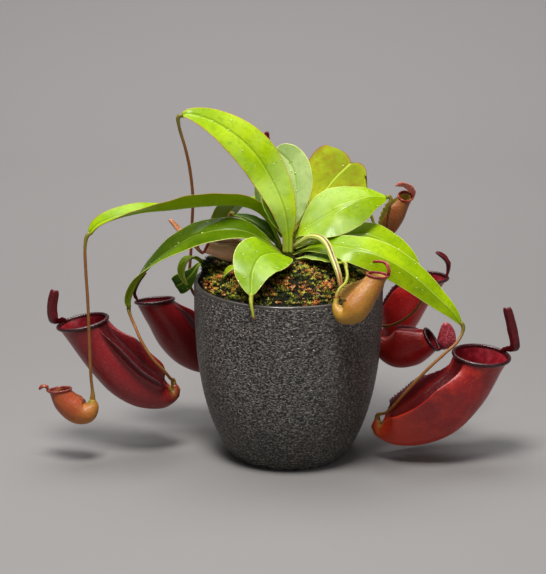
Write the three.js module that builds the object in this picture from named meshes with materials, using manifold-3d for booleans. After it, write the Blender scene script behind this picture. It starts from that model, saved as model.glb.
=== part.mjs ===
// A tropical pitcher plant in a round dark pot, in millimetres, +Z up.
// The origin is the centre of the pot's flat base, and the plant is seen from -Y.
// Each leaf ends in a tendril, and most tendrils carry a hollow pitcher with a lid.
import * as THREE from 'three';
import Module from 'manifold-3d';
import { mergeVertices } from 'three/addons/utils/BufferGeometryUtils.js';

const wasm = await Module();
wasm.setup();

// Pot
const POT_HEIGHT = 135;
const POT_RADIUS = 70;
const POT_BASE_RADIUS = 41.4;
const POT_SHOULDER = 2.83;
const POT_ROUNDNESS = 1.27;
const POT_WALL = 3.6;
const POT_FLOOR = 4;
const POT_SIDES = 36;
const POT_RIM_ROUND = 1.2;

// Soil and moss
const MOUND_TOP = 153;
const MOUND_FALL = 20;
const MOUND_POWER = 3.2;
const MOSS_THICKNESS = 6;
const MOSS_RELIEF = 1.4;
const STEM_HOLE_DEPTH = 20;
const CROWN_RADIUS = 20;

// Stem, with the seating gap that every piece keeps to its neighbour
const GAP = 0.3;
const ROOT_GAP = 0.6;
const STEM_FOOT_RADIUS = 4.6;
const STEM_TIP_RADIUS = 3.4;
const STEM_TOP = 178;
const STEM_SIDES = 14;

// Leaves and tendrils
const BLADE_THICKNESS = 0.9;
const MARGIN_THICKNESS = 0.7;
const MIDRIB_THICKNESS = 1.9;
const STALK_HALF_WIDTH = 2.3;
const TIP_HALF_WIDTH = 1.3;
const TENDRIL_RADIUS = 1.15;
const TENDRIL_SIDES = 6;
const TENDRIL_STEP = 9;

// Pitchers
const PITCHER_WALL = 1.1;
const COLLAR_FLARE = 1.6;
const COLLAR_HEIGHT = 1.3;
const CAVITY_START = 0.32;
const WING_TOOTH = 0.72;
const WING_RISE = 0.25;
const LID = {
  skew: 0.9, full: 0.6, stalk: 0.14, rootWidth: 1.1, tip: 1, slim: 0.6, fold: [16, 16], cup: 16, stations: 5,
};

const MATERIALS = {
  pot: { color: '#46474a', roughness: 0.55 },
  soil: { color: '#2b1d13', roughness: 0.95 },
  moss: { color: '#4c4a1a', roughness: 0.95 },
  stem: { color: '#7d9a2c', roughness: 0.5 },
  leaf: { color: '#8fbf1f', roughness: 0.35 },
  oldLeaf: { color: '#8f9c2a', roughness: 0.4 },
  darkLeaf: { color: '#2f5312', roughness: 0.4 },
  rolledLeaf: { color: '#a9a854', roughness: 0.4 },
  tendril: { color: '#94622b', roughness: 0.5 },
  redPitcher: { color: '#8a1a1f', roughness: 0.35 },
  orangePitcher: { color: '#c07f3c', roughness: 0.4 },
  tanPitcher: { color: '#a9805a', roughness: 0.5 },
};

// A leaf's path runs from the stem to the tip. root is the azimuth in degrees and the
// height where it leaves the stem. half is its widest half width, skew moves the widest
// place along it, full rounds its outline, and fold and cup tilt its two halves. tip is
// the half width at its end, and lobes are how far its two halves reach ahead there.
const LEAVES = {
  leaf_01: {
    root: [-97, 157], seat: 2, half: 16.5, skew: 1.1, full: 0.75, stalk: 0.1, rootWidth: 3.6,
    roll: [-85, -62, -60, -50, -40], fold: [6, 14, 12, 10], cup: -12, stations: 15, material: 'leaf',
    path: [[-1, -7.5, 172], [-4, -6, 191], [-13, 2, 211], [-26, 7, 230.5], [-42, 10, 244.5], [-59, 12, 254],
      [-74, 12, 258], [-78.5, 12, 256.5]],
  },
  leaf_02: {
    root: [172, 161], half: 13.5, skew: 1, full: 0.6, stalk: 0.08, roll: [0, 24, 40, 32, 2, -20],
    fold: [6, 22, 20, 22, 26], cup: 0, stations: 15, material: 'leaf',
    path: [[-13, 2, 178], [-22, 1, 188], [-36, -5, 194.5], [-61, -12, 196], [-86, -17, 194.5],
      [-108, -20, 193], [-128, -23, 188.5], [-139, -24, 183.5], [-145, -25, 177]],
  },
  leaf_03: {
    root: [-155, 156], half: 15, skew: 0.9, full: 0.7, stalk: 0.08, roll: [0, -15, -14, 0, 30],
    fold: [14, 10, 20], cup: -10, stations: 16, material: 'leaf',
    path: [[-11, -8, 163], [-20, -11, 170], [-32, -13, 176], [-49, -13, 177], [-69, -11, 172],
      [-87, -8, 161], [-102, -4, 148], [-113, 0, 134], [-119, 3, 118], [-119, 4, 113]],
  },
  leaf_04: {
    foot: [0, -15, 155.2], half: 19, skew: 0.9, full: 0.85, stalk: 0.08, roll: [0, -26, -34, -26, -15],
    fold: [8, 6, 10], cup: -8, stations: 12, material: 'leaf',
    path: [[-4, -24, 161], [-12, -35, 165.5], [-21, -45, 165], [-26, -56, 157], [-27, -67, 143]],
  },
  leaf_05: {
    root: [-45, 156], half: 13.5, skew: 0.95, full: 0.75, stalk: 0.08, roll: [0, 25, 42, 42, 35],
    fold: [8, 0, -22, -25, -18], cup: 0, stations: 15, material: 'leaf',
    path: [[17, -12, 163], [32, -20, 167], [46, -27, 167], [62, -32, 164], [78, -35, 157],
      [94, -37, 146], [108, -37, 133], [120, -36, 121], [126, -35, 112]],
  },
  leaf_06: {
    root: [74, 173], seat: 0.5, half: 15, skew: 1.5, full: 0.5, stalk: 0.05, roll: [0, -40, -40, -30],
    fold: [2, 8, 6, 6], cup: 0, stations: 10, material: 'leaf',
    path: [[4, 11, 187.5], [5, 15, 207.5], [0, 19, 220.5], [-10.5, 20.5, 229.5]],
  },
  leaf_07: {
    root: [46, 170.5], seat: 0.5, half: 12, skew: 2.7, full: 0.55, stalk: 0.1, roll: [0, 15, 35, 35],
    fold: [4, 2, 0], cup: 0, stations: 14, tip: 20, lobes: [3, 6], material: 'oldLeaf',
    path: [[11, 20, 181], [24, 34, 190], [35.5, 40, 203], [46.5, 43, 213]],
  },
  leaf_08: {
    root: [-12, 167], half: 20, skew: 0.95, full: 0.75, stalk: 0.05, roll: [0, 35, 45, 40, 35],
    fold: [10, 4, -14, -20], cup: -6, stations: 13, material: 'leaf',
    path: [[12, -2, 175], [24, -4, 183], [36, -3, 190], [47, 0, 195], [60, 4, 198], [73, 9, 196]],
  },
  leaf_09: {
    root: [12, 159], half: 12.5, skew: 1, full: 0.75, stalk: 0.1, roll: [0, 30, 38, 35],
    fold: [8, 6, 6], cup: -10, stations: 12, material: 'leaf',
    path: [[23, 0, 166], [41, -1, 170], [61, -3, 170], [77, -6, 162], [88, -9, 152], [95, -12, 141],
      [98, -13, 131]],
  },
  leaf_10: {
    foot: [6, -14, 155.2], half: 9.5, skew: 1, full: 0.8, stalk: 0.1, roll: [6, 14, 10],
    fold: [10, 10, 10], cup: 0, stations: 8, material: 'leaf',
    path: [[13, -16, 157], [23, -21, 158.2], [32, -28, 158], [39, -33.5, 158]],
  },
  leaf_11: {
    root: [38, 163], half: 9, skew: 1, full: 0.8, stalk: 0.1, roll: [0, 0, 0],
    fold: [10, 10], cup: 0, stations: 8, material: 'leaf',
    path: [[22, 17, 170], [42, 29, 175], [58, 36, 177]],
  },
  leaf_12: {
    root: [140, 157], half: 9, skew: 1, full: 0.8, stalk: 0.1, roll: [0, 0, 0],
    fold: [10, 10], cup: 0, stations: 8, material: 'darkLeaf',
    path: [[-17, 13, 170], [-30, 22, 176], [-41, 28, 178]],
  },
  leaf_13: {
    root: [108, 165], half: 15, skew: 1, full: 0.7, stalk: 0.1, roll: [0, 0, 0],
    fold: [12, 12], cup: -10, stations: 12, material: 'leaf',
    path: [[-10, 25, 180], [-24, 45, 185], [-40, 66, 176], [-52, 84, 155], [-57, 94, 134]],
  },
  leaf_14: {
    root: [84, 157], half: 15, skew: 1, full: 0.7, stalk: 0.1, roll: [0, 0, 0],
    fold: [12, 12], cup: -10, stations: 12, material: 'leaf',
    path: [[8, 26, 176], [15, 50, 184], [24, 74, 176], [31, 92, 157], [34, 102, 138]],
  },
  leaf_15: {
    root: [-178, 169], seat: 0.4, half: 6.5, skew: 1, full: 0.8, stalk: 0.1, roll: [0, -60, -75],
    fold: [6, 14, 16], cup: 0, stations: 7, material: 'darkLeaf',
    path: [[-7.2, -1.8, 175], [-10.6, -2.7, 186], [-18, -4.6, 200]],
  },
  leaf_16: {
    root: [132, 170], half: 10, skew: 1.2, full: 1, stalk: 0.1, roll: [0, -30, -20],
    fold: [10, 10], cup: 0, stations: 7, material: 'leaf',
    path: [[-10.5, 15, 186], [-18, 21, 195], [-24, 25, 204]],
  },
  leaf_17: {
    foot: [-60, 13, 138.2], half: 6, skew: 1, full: 0.8, stalk: 0.2, roll: [0, 0, 0], rootWidth: 1.3,
    fold: [10, 10], cup: 0, stations: 8, material: 'leaf',
    path: [[-65, 10, 147], [-71, 7, 151], [-77, 2, 148], [-79, 0, 140], [-75, -1, 131]],
  },
  leaf_18: {
    foot: [-58.5, 27, 135.6], half: 3.5, skew: 2.2, full: 0.8, stalk: 0.3, roll: [-30, -40, -60],
    rootWidth: 1.2, tip: 6.5, fold: [4, 4], cup: 0, stations: 8, material: 'darkLeaf',
    path: [[-66, 24, 141], [-72, 20, 134.5], [-78, 16.5, 129], [-84, 13.5, 126]],
  },
  leaf_19: {
    foot: [-48, -25, 143.4], half: 3.5, skew: 1, full: 0.8, stalk: 0.1, roll: [40, 40, 40],
    rootWidth: 1.2, tip: 0.6, fold: [8, 8], cup: 0, stations: 5, material: 'leaf',
    path: [[-45, -28, 150], [-38, -30, 155]],
  },
};

// A young leaf, still rolled into a tube, that leans out over the rim.
const ROLLED_LEAF = {
  root: [-44, 161],
  seat: 0.4,
  path: [[9, -12, 167], [16, -19, 173], [23, -26, 174], [28, -34, 171], [32, -42, 163], [36, -52, 153],
    [38, -59, 141]],
  radii: [1.6, 2.5, 2.7, 2.8, 2.7, 2.4, 2, 1.2],
  rings: 14,
  sides: 8,
};

// The tendrils that a leaf of the same number ends in, by the points between leaf and pitcher.
const TENDRILS = {
  tendril_01: [[-80.5, 12, 250], [-79, 13, 243], [-76, 14, 232], [-73, 17, 216], [-71, 21, 193],
    [-72, 25, 170], [-73, 28, 150], [-74, 31, 122], [-67, 40, 105], [-57, 54, 87], [-50, 61, 68]],
  tendril_02: [[-148, -26, 168], [-148, -26, 152], [-147, -26, 127], [-146.5, -25, 92],
    [-146, -25, 68]],
  tendril_03: [[-117.5, 0, 107], [-113.5, -9, 101], [-109, -15, 92.5], [-101, -18, 80], [-92, -15, 68.5],
    [-88, -8, 60.5]],
  tendril_04: [[-27, -72, 138], [-25, -76, 128]],
  tendril_05: [[127, -36, 106], [122.5, -40, 99], [114, -43, 92], [101.5, -45, 80.5], [86, -38, 60],
    [73, -25, 40]],
  tendril_06: [[-14, 23.5, 229.5], [-15, 27, 223], [-17.5, 30.5, 215], [-22, 30.5, 206.5]],
  tendril_08: [[75, 9, 191], [74, 13, 182], [73, 20, 166], [74, 34, 144], [73, 48, 122], [69, 60, 97]],
  tendril_09: [[99, -9, 124], [97, -2, 116], [92, 8, 106], [84, 20, 96], [76, 29, 90]],
  tendril_10: [[41.5, -39, 155], [42, -48, 152], [40.5, -56, 149], [36, -63, 146.5]],
  tendril_11: [[63, 38, 172], [66, 39, 161], [69, 37.5, 154]],
  tendril_12: [[-44, 29, 174], [-42, 22, 165], [-32, 11, 159.5], [-23.5, 4, 160]],
  tendril_13: [[-58, 99, 112], [-58, 102, 85], [-57, 103, 63]],
  tendril_14: [[35, 106, 126], [33, 107, 112], [27, 106, 106], [23, 105, 112]],
};

// A pitcher's path runs from the tendril to the middle of the mouth, with a radius for
// each point. side is across its two wings, mouth is square to its opening, and the
// lid's points follow on from the far side of the mouth. wing is the height of the two
// wings, or of each, and wingFrom and wingRise are where they start and reach it.
const PITCHERS = {
  pitcher_01: {
    path: [[-51, 61, 54], [-55, 61, 49.5], [-64, 60, 52], [-75, 57, 62], [-85, 52.5, 76], [-93, 48, 91],
      [-101.5, 44, 105]],
    radii: [2.2, 4.5, 10, 14.5, 16, 14.5, 12.2], side: [0.1, 1, 0.1], mouth: [-0.07, 0.14, 1], wing: 6,
    wingFrom: 0.25,
    lid: { path: [[-117, 43, 111.5], [-114, 43, 120], [-108.5, 44, 128]], half: 4, roll: 0 },
    rings: 11, material: 'redPitcher',
  },
  pitcher_02: {
    path: [[-145.3, -24, 50], [-145.8, -24, 44.5], [-150, -24, 40], [-156.5, -23, 40.7], [-163.7, -23, 47],
      [-169.5, -23, 56.5]],
    radii: [1.6, 3.6, 7.2, 9.8, 9.6, 7.4], side: [0, 1, 0], mouth: [-0.1, 0.08, 1], wing: 2.6, wingFrom: 0.45,
    lid: { path: [[-181, -23, 60], [-185, -23, 58]], half: 1.8, roll: 0 },
    rings: 9, material: 'orangePitcher',
  },
  pitcher_03: {
    path: [[-86, 0, 53.5], [-85.3, 0, 48], [-93, 0, 45.5], [-106, 0, 50], [-120, 0, 59.5], [-132, 0, 72.5],
      [-143.5, 0, 87], [-153, 0, 101.4]],
    radii: [2.2, 5, 10.5, 15.5, 17.5, 17.5, 16.5, 17], side: [0.5, 1, 0.5], mouth: [-0.2, 0, 1], wing: 11,
    lid: {
      path: [[-174.5, 0, 102.5], [-176, 0, 113], [-173.5, 0, 127]], half: 3.8, full: 0.3, tip: 2.6, roll: 45,
      rootWidth: 2.2,
    },
    rings: 12, material: 'redPitcher',
  },
  pitcher_05: {
    path: [[66.5, -17, 31.5], [66.5, -17.3, 25.7], [77, -18, 23.7], [94, -19, 29], [111.5, -20, 40],
      [125.5, -20, 54.5], [136, -20, 69], [142.5, -20, 82]],
    radii: [2.2, 5.2, 11, 17, 20.5, 20, 18, 19], side: [0.5, -1, -0.5], mouth: [0.1, -0.07, 1],
    wing: 14, wingFrom: 0.03, wingRise: 0.16,
    lid: {
      path: [[166.5, -20, 88], [164, -20, 104], [160, -20, 119.5]], half: 3.8, full: 0.3, tip: 2.6, roll: 0,
      rootWidth: 2.2,
    },
    rings: 12, material: 'redPitcher',
  },
  pitcher_06: {
    path: [[-24, 29, 210], [-26, 28, 217], [-23, 27, 225], [-20, 26, 231]],
    radii: [1.5, 3.2, 3.6, 3.4], side: [0, -1, 0], mouth: [0.2, 0, 1], wing: 1,
    lid: { path: [[-16, 27, 237], [-16, 27, 241]], half: 2.4, roll: 0 }, rings: 6, material: 'redPitcher',
  },
  pitcher_08: {
    path: [[68, 62, 82], [69, 62, 76], [74, 61, 73], [80, 60, 76], [87, 58, 88], [96, 55, 105],
      [105, 52, 121]],
    radii: [2.2, 3.2, 6.5, 11, 13.5, 13, 14], side: [0, -1, 0], mouth: [0, 0, 1], wing: 5, wingFrom: 0.3,
    lid: { path: [[122, 52, 126], [121, 52, 134], [113, 52, 142]], half: 4, roll: 0 },
    rings: 11, material: 'redPitcher',
  },
  pitcher_09: {
    path: [[72, 33, 82], [72, 33, 76], [77, 33, 71], [86, 32, 69], [96, 29, 72], [103, 26, 75],
      [109, 22, 78]],
    radii: [2.2, 3.8, 8, 12.5, 14, 12.5, 10.5], side: [0, -1, 0], mouth: [0.8, -0.5, 0.4], wing: 3,
    wingFrom: 0.25,
    lid: { path: [[118, 12, 79], [119, 11, 88], [118, 12, 98]], half: 7.5, roll: -30 },
    rings: 12, material: 'redPitcher',
  },
  pitcher_10: {
    path: [[34, -66.5, 140.5], [33.5, -68.8, 135], [38, -70.6, 130.2], [45.5, -69.8, 133.3],
      [54.6, -66, 144.5], [63.3, -62, 156.5]],
    radii: [1.6, 2.9, 6.6, 10.3, 9, 6.6], side: [0, -1, 0], mouth: [0.14, 0, 1], wing: [6.5, 0.8],
    wingFrom: 0.3,
    lid: { path: [[71.5, -60, 161], [68, -56, 165], [60.5, -52.5, 164.5]], half: 1.2, roll: 0 },
    rings: 10, material: 'orangePitcher',
  },
  pitcher_11: {
    path: [[73, 35, 157.5], [76, 34, 164.5], [80.5, 32.5, 175], [84.3, 31, 184], [87.5, 30, 191]],
    radii: [1.6, 5, 6.4, 5.6, 5.2], side: [0.4, -1, 0], mouth: [0.2, -0.5, 1], wing: 5,
    lid: { path: [[91, 29, 196], [86, 28, 200], [80, 27, 201]], half: 4.4, roll: 0 },
    rings: 8, material: 'orangePitcher',
  },
  pitcher_12: {
    path: [[-27, -4, 159], [-33, -5, 158], [-40, -5, 158], [-47.5, -4, 158.5], [-54, -3, 160],
      [-60, -2, 161.5]],
    radii: [1.8, 5.3, 7.6, 6.8, 5.8, 5.4], side: [0, 1, 0], mouth: [-0.85, 0.05, 0.4], wing: 2,
    lid: { path: [[-72, 3, 164], [-81, 10, 170], [-88, 13, 178]], half: 3.2, roll: 0 },
    rings: 8, material: 'tanPitcher',
  },
  pitcher_13: {
    path: [[-56, 102, 51], [-55, 103, 46], [-50, 104, 43], [-42, 105, 46], [-34, 106, 56], [-28, 106, 73],
      [-24, 106, 90]],
    radii: [2.2, 4, 8, 12, 13.5, 13, 14], side: [0, -1, 0], mouth: [0, 0, 1], wing: 5, wingFrom: 0.25,
    lid: { path: [[-6, 106, 97], [-5, 106, 107], [-9, 106, 117]], half: 4.5, roll: 0 },
    rings: 11, material: 'redPitcher',
  },
};

const vec = (p) => new THREE.Vector3(p[0], p[1], p[2]);
const degrees = THREE.MathUtils.degToRad;
const smooth = THREE.MathUtils.smoothstep;

function smoothCurve(points) {
  return new THREE.CatmullRomCurve3(points.map((p) => (p.isVector3 ? p : vec(p))), false, 'centripetal');
}

// Value of a list of numbers at a place from 0 to 1 along it, smoothly between neighbours.
function sampleList(list, t) {
  const place = t * (list.length - 1);
  const i = Math.min(Math.floor(place), list.length - 2);
  const k = place - i;
  const before = list[Math.max(i - 1, 0)];
  const after = list[Math.min(i + 2, list.length - 1)];
  const slopeA = (list[i + 1] - before) / 2;
  const slopeB = (after - list[i]) / 2;
  const k2 = k * k;
  const k3 = k2 * k;
  return (2 * k3 - 3 * k2 + 1) * list[i] + (k3 - 2 * k2 + k) * slopeA
    + (3 * k2 - 2 * k3) * list[i + 1] + (k3 - k2) * slopeB;
}

// Closed body from a loop of columns repeated in rows, with both ends closed by a fan.
function loftBody(rows) {
  const across = rows[0].length;
  const points = rows.flat();
  const index = [];
  for (let i = 0; i + 1 < rows.length; i += 1) {
    for (let j = 0; j < across; j += 1) {
      const a = i * across + j;
      const b = i * across + ((j + 1) % across);
      index.push(a, b, b + across, a, b + across, a + across);
    }
  }
  const ends = [[0, rows[0], false], [(rows.length - 1) * across, rows[rows.length - 1], true]];
  for (const [start, row, last] of ends) {
    const middle = points.length;
    points.push(row.reduce((sum, p) => sum.add(p), new THREE.Vector3()).divideScalar(across));
    for (let j = 0; j < across; j += 1) {
      const a = start + j;
      const b = start + ((j + 1) % across);
      index.push(middle, last ? a : b, last ? b : a);
    }
  }
  return bodyFrom(points, index);
}

function bodyFrom(points, index) {
  const geometry = new THREE.BufferGeometry();
  const corners = points.flatMap((p) => p.toArray());
  geometry.setAttribute('position', new THREE.Float32BufferAttribute(corners, 3));
  geometry.setIndex(index);
  return geometry;
}

// Booleans, on meshes whose shared corners are merged.
function solidOf(geometry) {
  const bare = geometry.clone();
  bare.deleteAttribute('normal');
  bare.deleteAttribute('uv');
  const merged = mergeVertices(bare, 1e-4);
  return new wasm.Manifold(new wasm.Mesh({
    numProp: 3,
    vertProperties: new Float32Array(merged.attributes.position.array),
    triVerts: new Uint32Array(merged.index.array),
  }));
}

function geometryOf(solid) {
  const mesh = solid.getMesh();
  const geometry = new THREE.BufferGeometry();
  geometry.setAttribute('position', new THREE.BufferAttribute(mesh.vertProperties, 3));
  geometry.setIndex(new THREE.BufferAttribute(mesh.triVerts, 1));
  return geometry;
}

// Pot, soil and moss, all turned round the Z axis.
function turned(profile, sides = POT_SIDES) {
  const outline = profile.map(([r, z]) => new THREE.Vector2(r, z));
  return new THREE.LatheGeometry(outline, sides).rotateX(Math.PI / 2);
}

function potRadius(z) {
  const down = (POT_HEIGHT - z) / POT_HEIGHT;
  const bulge = (1 - down ** POT_SHOULDER) ** (1 / POT_ROUNDNESS);
  return POT_BASE_RADIUS + (POT_RADIUS - POT_BASE_RADIUS) * bulge;
}

const innerRadius = (z) => potRadius(z) - POT_WALL;

function potGeometry() {
  const outside = [1, 5, 12, 24, 42, 70, 105].map((z) => [potRadius(z), z]);
  const inside = [POT_HEIGHT - 3, 95, 60, 30, 10].map((z) => [innerRadius(z), z]);
  return turned([
    [0, 0], [POT_BASE_RADIUS - 1, 0], ...outside,
    [POT_RADIUS, POT_HEIGHT - POT_RIM_ROUND],
    [POT_RADIUS - POT_RIM_ROUND, POT_HEIGHT],
    [POT_RADIUS - POT_WALL + POT_RIM_ROUND, POT_HEIGHT],
    ...inside,
    [POT_BASE_RADIUS - POT_WALL, POT_FLOOR], [0, POT_FLOOR],
  ]);
}

const HOLE_RADIUS = STEM_FOOT_RADIUS + GAP;
const MOSS_RADIUS = POT_RADIUS - POT_WALL - GAP;
const moundHeight = (r) => MOUND_TOP - MOUND_FALL * (r / MOSS_RADIUS) ** MOUND_POWER;

function soilGeometry() {
  const top = (r) => moundHeight(r) - MOSS_THICKNESS - GAP;
  const side = [30, 60, 95].map((z) => [innerRadius(z) - GAP, z]);
  const crown = [MOSS_RADIUS, 56, 40, HOLE_RADIUS].map((r) => [r, top(r)]);
  const holeFloor = top(HOLE_RADIUS) - STEM_HOLE_DEPTH;
  return turned([[0, POT_FLOOR + GAP], [POT_BASE_RADIUS - POT_WALL - 2 * GAP, POT_FLOOR + GAP],
    ...side, ...crown, [HOLE_RADIUS, holeFloor], [0, holeFloor]]);
}

// Uneven top: a repeatable drop in millimetres for each corner.
function tuft(x, y) {
  const mixed = Math.sin(x * 12.9898 + y * 78.233) * 43758.5453;
  return (Math.floor(mixed) - mixed) * MOSS_RELIEF;
}

function mossGeometry() {
  const rings = [HOLE_RADIUS, 16, 27, 38, 48, 56, 62, MOSS_RADIUS];
  const under = (r) => moundHeight(r) - MOSS_THICKNESS;
  const lower = [MOSS_RADIUS, 56, 40, HOLE_RADIUS].map((r) => [r, under(r)]);
  const upper = rings.map((r) => [r, moundHeight(r)]);
  const geometry = turned([...lower.reverse(), ...upper.reverse(), [HOLE_RADIUS, under(HOLE_RADIUS)]]);
  const position = geometry.attributes.position;
  for (let i = 0; i < position.count; i += 1) {
    const [x, y, z] = [position.getX(i), position.getY(i), position.getZ(i)];
    const r = Math.hypot(x, y);
    if (r > CROWN_RADIUS && r < MOSS_RADIUS - 1 && z > moundHeight(r) - 1) {
      position.setZ(i, z + tuft(Math.round(x), Math.round(y)));
    }
  }
  return geometry;
}

function stemRadius(z) {
  return THREE.MathUtils.mapLinear(z, MOUND_TOP, STEM_TOP, STEM_FOOT_RADIUS, STEM_TIP_RADIUS);
}

function stemGeometry() {
  const foot = moundHeight(HOLE_RADIUS) - MOSS_THICKNESS - STEM_HOLE_DEPTH;
  const shoulder = STEM_TOP - 3;
  return turned([
    [0, foot], [STEM_FOOT_RADIUS - 1, foot], [STEM_FOOT_RADIUS, foot + 2],
    [STEM_FOOT_RADIUS, MOUND_TOP], [stemRadius(shoulder), shoulder],
    [STEM_TIP_RADIUS / 2, STEM_TOP - 0.6], [0, STEM_TOP],
  ], STEM_SIDES);
}

// Directions along a blade: forward along the path, face out of the upper side, and side across.
function bladeFrames(curve, stations, roll) {
  const start = curve.getPointAt(0);
  const outward = curve.getPointAt(1).sub(start).setZ(0).normalize();
  let face = new THREE.Vector3(0, 0, 1).sub(outward);
  const frames = [];
  for (let i = 0; i <= stations; i += 1) {
    const t = i / stations;
    const forward = curve.getTangentAt(t);
    face = face.clone().addScaledVector(forward, -face.dot(forward)).normalize();
    const turn = degrees(sampleList(roll, t));
    const rolled = face.clone().applyAxisAngle(forward, turn);
    const side = forward.clone().cross(rolled);
    frames.push({ t, point: curve.getPointAt(t), forward, face: rolled, side });
  }
  return frames;
}

// Half width of a blade at t, with a stalk, a belly and a tip as wide as its tendril.
function halfWidth(blade, t) {
  const tip = blade.tip ?? TIP_HALF_WIDTH;
  const root = blade.rootWidth ?? STALK_HALF_WIDTH;
  if (t <= blade.stalk) return root;
  const u = (t - blade.stalk) / (1 - blade.stalk);
  const belly = Math.sin(Math.PI * u ** blade.skew) ** blade.full;
  return THREE.MathUtils.lerp(root, tip, u) + (blade.half - root) * belly;
}

// How far ahead of its midrib a lobe reaches, at a share of the half width.
const lobeShape = (reach) => Math.sin(Math.PI * reach ** 0.75) - 0.3 * reach ** 4;

// A folded blade: five columns across, both faces split into triangles alike.
function bladeGeometry(curve, blade) {
  const columns = [-1, -0.5, 0, 0.5, 1];
  const rows = bladeFrames(curve, blade.stations, blade.roll).map((frame) => {
    const width = halfWidth(blade, frame.t);
    const fold = sampleList(blade.fold, frame.t);
    const ahead = (blade.lobes ?? [0, 0]).map((lobe) => lobe * smooth(frame.t, 0.55, 1));
    const upper = [];
    const lower = [];
    for (const u of columns) {
      const sign = Math.sign(u);
      const reach = Math.abs(u);
      const inner = degrees(fold + blade.cup * 0.25);
      const outer = degrees(fold + blade.cup * 0.75);
      const angle = degrees(fold + blade.cup * reach) * sign;
      const near = Math.min(reach, 0.5) * width;
      const far = Math.max(reach - 0.5, 0) * width;
      const across = Math.cos(inner) * near + Math.cos(outer) * far;
      const raised = Math.sin(inner) * near + Math.sin(outer) * far;
      const top = frame.point.clone()
        .addScaledVector(frame.side, across * sign)
        .addScaledVector(frame.face, raised)
        .addScaledVector(frame.forward, (sign < 0 ? ahead[0] : ahead[1]) * lobeShape(reach));
      const normal = frame.face.clone().multiplyScalar(Math.cos(angle))
        .addScaledVector(frame.side, -Math.sin(angle));
      const margin = reach === 1 ? MARGIN_THICKNESS : BLADE_THICKNESS;
      const thickness = u === 0 ? MIDRIB_THICKNESS * (blade.slim ?? 1) : margin;
      upper.push(top);
      lower.push(top.clone().addScaledVector(normal, -thickness));
    }
    return [...upper, ...lower.reverse()];
  });
  return loftStrip(rows);
}

// Closed body from rows of ten corners, five above and five below, with flat ends.
function loftStrip(rows) {
  const across = rows[0].length;
  const index = [];
  for (let i = 0; i + 1 < rows.length; i += 1) {
    for (let j = 0; j < across; j += 1) {
      const a = i * across + j;
      const b = i * across + ((j + 1) % across);
      const upper = j < across / 2;
      if (upper) index.push(a, b, a + across, b, b + across, a + across);
      else index.push(a, b + across, a + across, a, b, b + across);
    }
  }
  for (const [start, last] of [[0, false], [(rows.length - 1) * across, true]]) {
    for (let j = 0; j + 1 < across / 2; j += 1) {
      const [a, b] = [start + j, start + j + 1];
      const [c, d] = [start + across - 2 - j, start + across - 1 - j];
      if (last) index.push(a, b, c, a, c, d);
      else index.push(a, c, b, a, d, c);
    }
  }
  return bodyFrom(rows.flat(), index);
}

function leafCurve(leaf) {
  if (leaf.foot) return smoothCurve([leaf.foot, ...leaf.path]);
  const [azimuth, height] = leaf.root;
  const reach = stemRadius(height) + ROOT_GAP + (leaf.seat ?? 0);
  const foot = [reach * Math.cos(degrees(azimuth)), reach * Math.sin(degrees(azimuth)), height];
  return smoothCurve([foot, ...leaf.path]);
}

function rolledLeafGeometry() {
  const curve = leafCurve(ROLLED_LEAF);
  const rows = bladeFrames(curve, ROLLED_LEAF.rings, [0, 0]).map((frame) => {
    const radius = sampleList(ROLLED_LEAF.radii, frame.t);
    return Array.from({ length: ROLLED_LEAF.sides }, (_, i) => {
      const angle = (2 * Math.PI * i) / ROLLED_LEAF.sides;
      return frame.point.clone()
        .addScaledVector(frame.face, radius * Math.cos(angle))
        .addScaledVector(frame.side, radius * Math.sin(angle));
    });
  });
  return loftBody(rows);
}

// A tendril's tube from the leaf's tip to the pitcher's foot, a seating gap from both.
function tendrilGeometry(points, leaf, pitcher) {
  const tipWay = leaf.getTangentAt(1);
  const start = leaf.getPointAt(1).addScaledVector(tipWay, GAP);
  const route = [start, start.clone().addScaledVector(tipWay, 2), ...points.map(vec)];
  if (pitcher) {
    const footWay = pitcher.getTangentAt(0);
    const foot = pitcher.getPointAt(0);
    route.push(foot.clone().addScaledVector(footWay, -3), foot.clone().addScaledVector(footWay, -GAP));
  }
  const curve = smoothCurve(route);
  const section = new THREE.Shape();
  for (let i = 0; i < TENDRIL_SIDES; i += 1) {
    const angle = (2 * Math.PI * i) / TENDRIL_SIDES;
    const [x, y] = [TENDRIL_RADIUS * Math.cos(angle), TENDRIL_RADIUS * Math.sin(angle)];
    if (i === 0) section.moveTo(x, y);
    else section.lineTo(x, y);
  }
  section.closePath();
  const steps = Math.max(5, Math.round(curve.getLength() / TENDRIL_STEP));
  return new THREE.ExtrudeGeometry(section, { steps, bevelEnabled: false, extrudePath: curve });
}

// Angles round a pitcher from the middle of its front. The two wings stand at the front.
const WING_INNER = 9;
const WING_TIP = [17, 20];
const WING_OUTER = 25;
const BACK_ANGLES = [60, 98, 138, 180, 222, 262, 300];
const PITCHER_ANGLES = [WING_INNER, ...WING_TIP, WING_OUTER, ...BACK_ANGLES,
  360 - WING_OUTER, 360 - WING_TIP[1], 360 - WING_TIP[0], 360 - WING_INNER];

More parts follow.
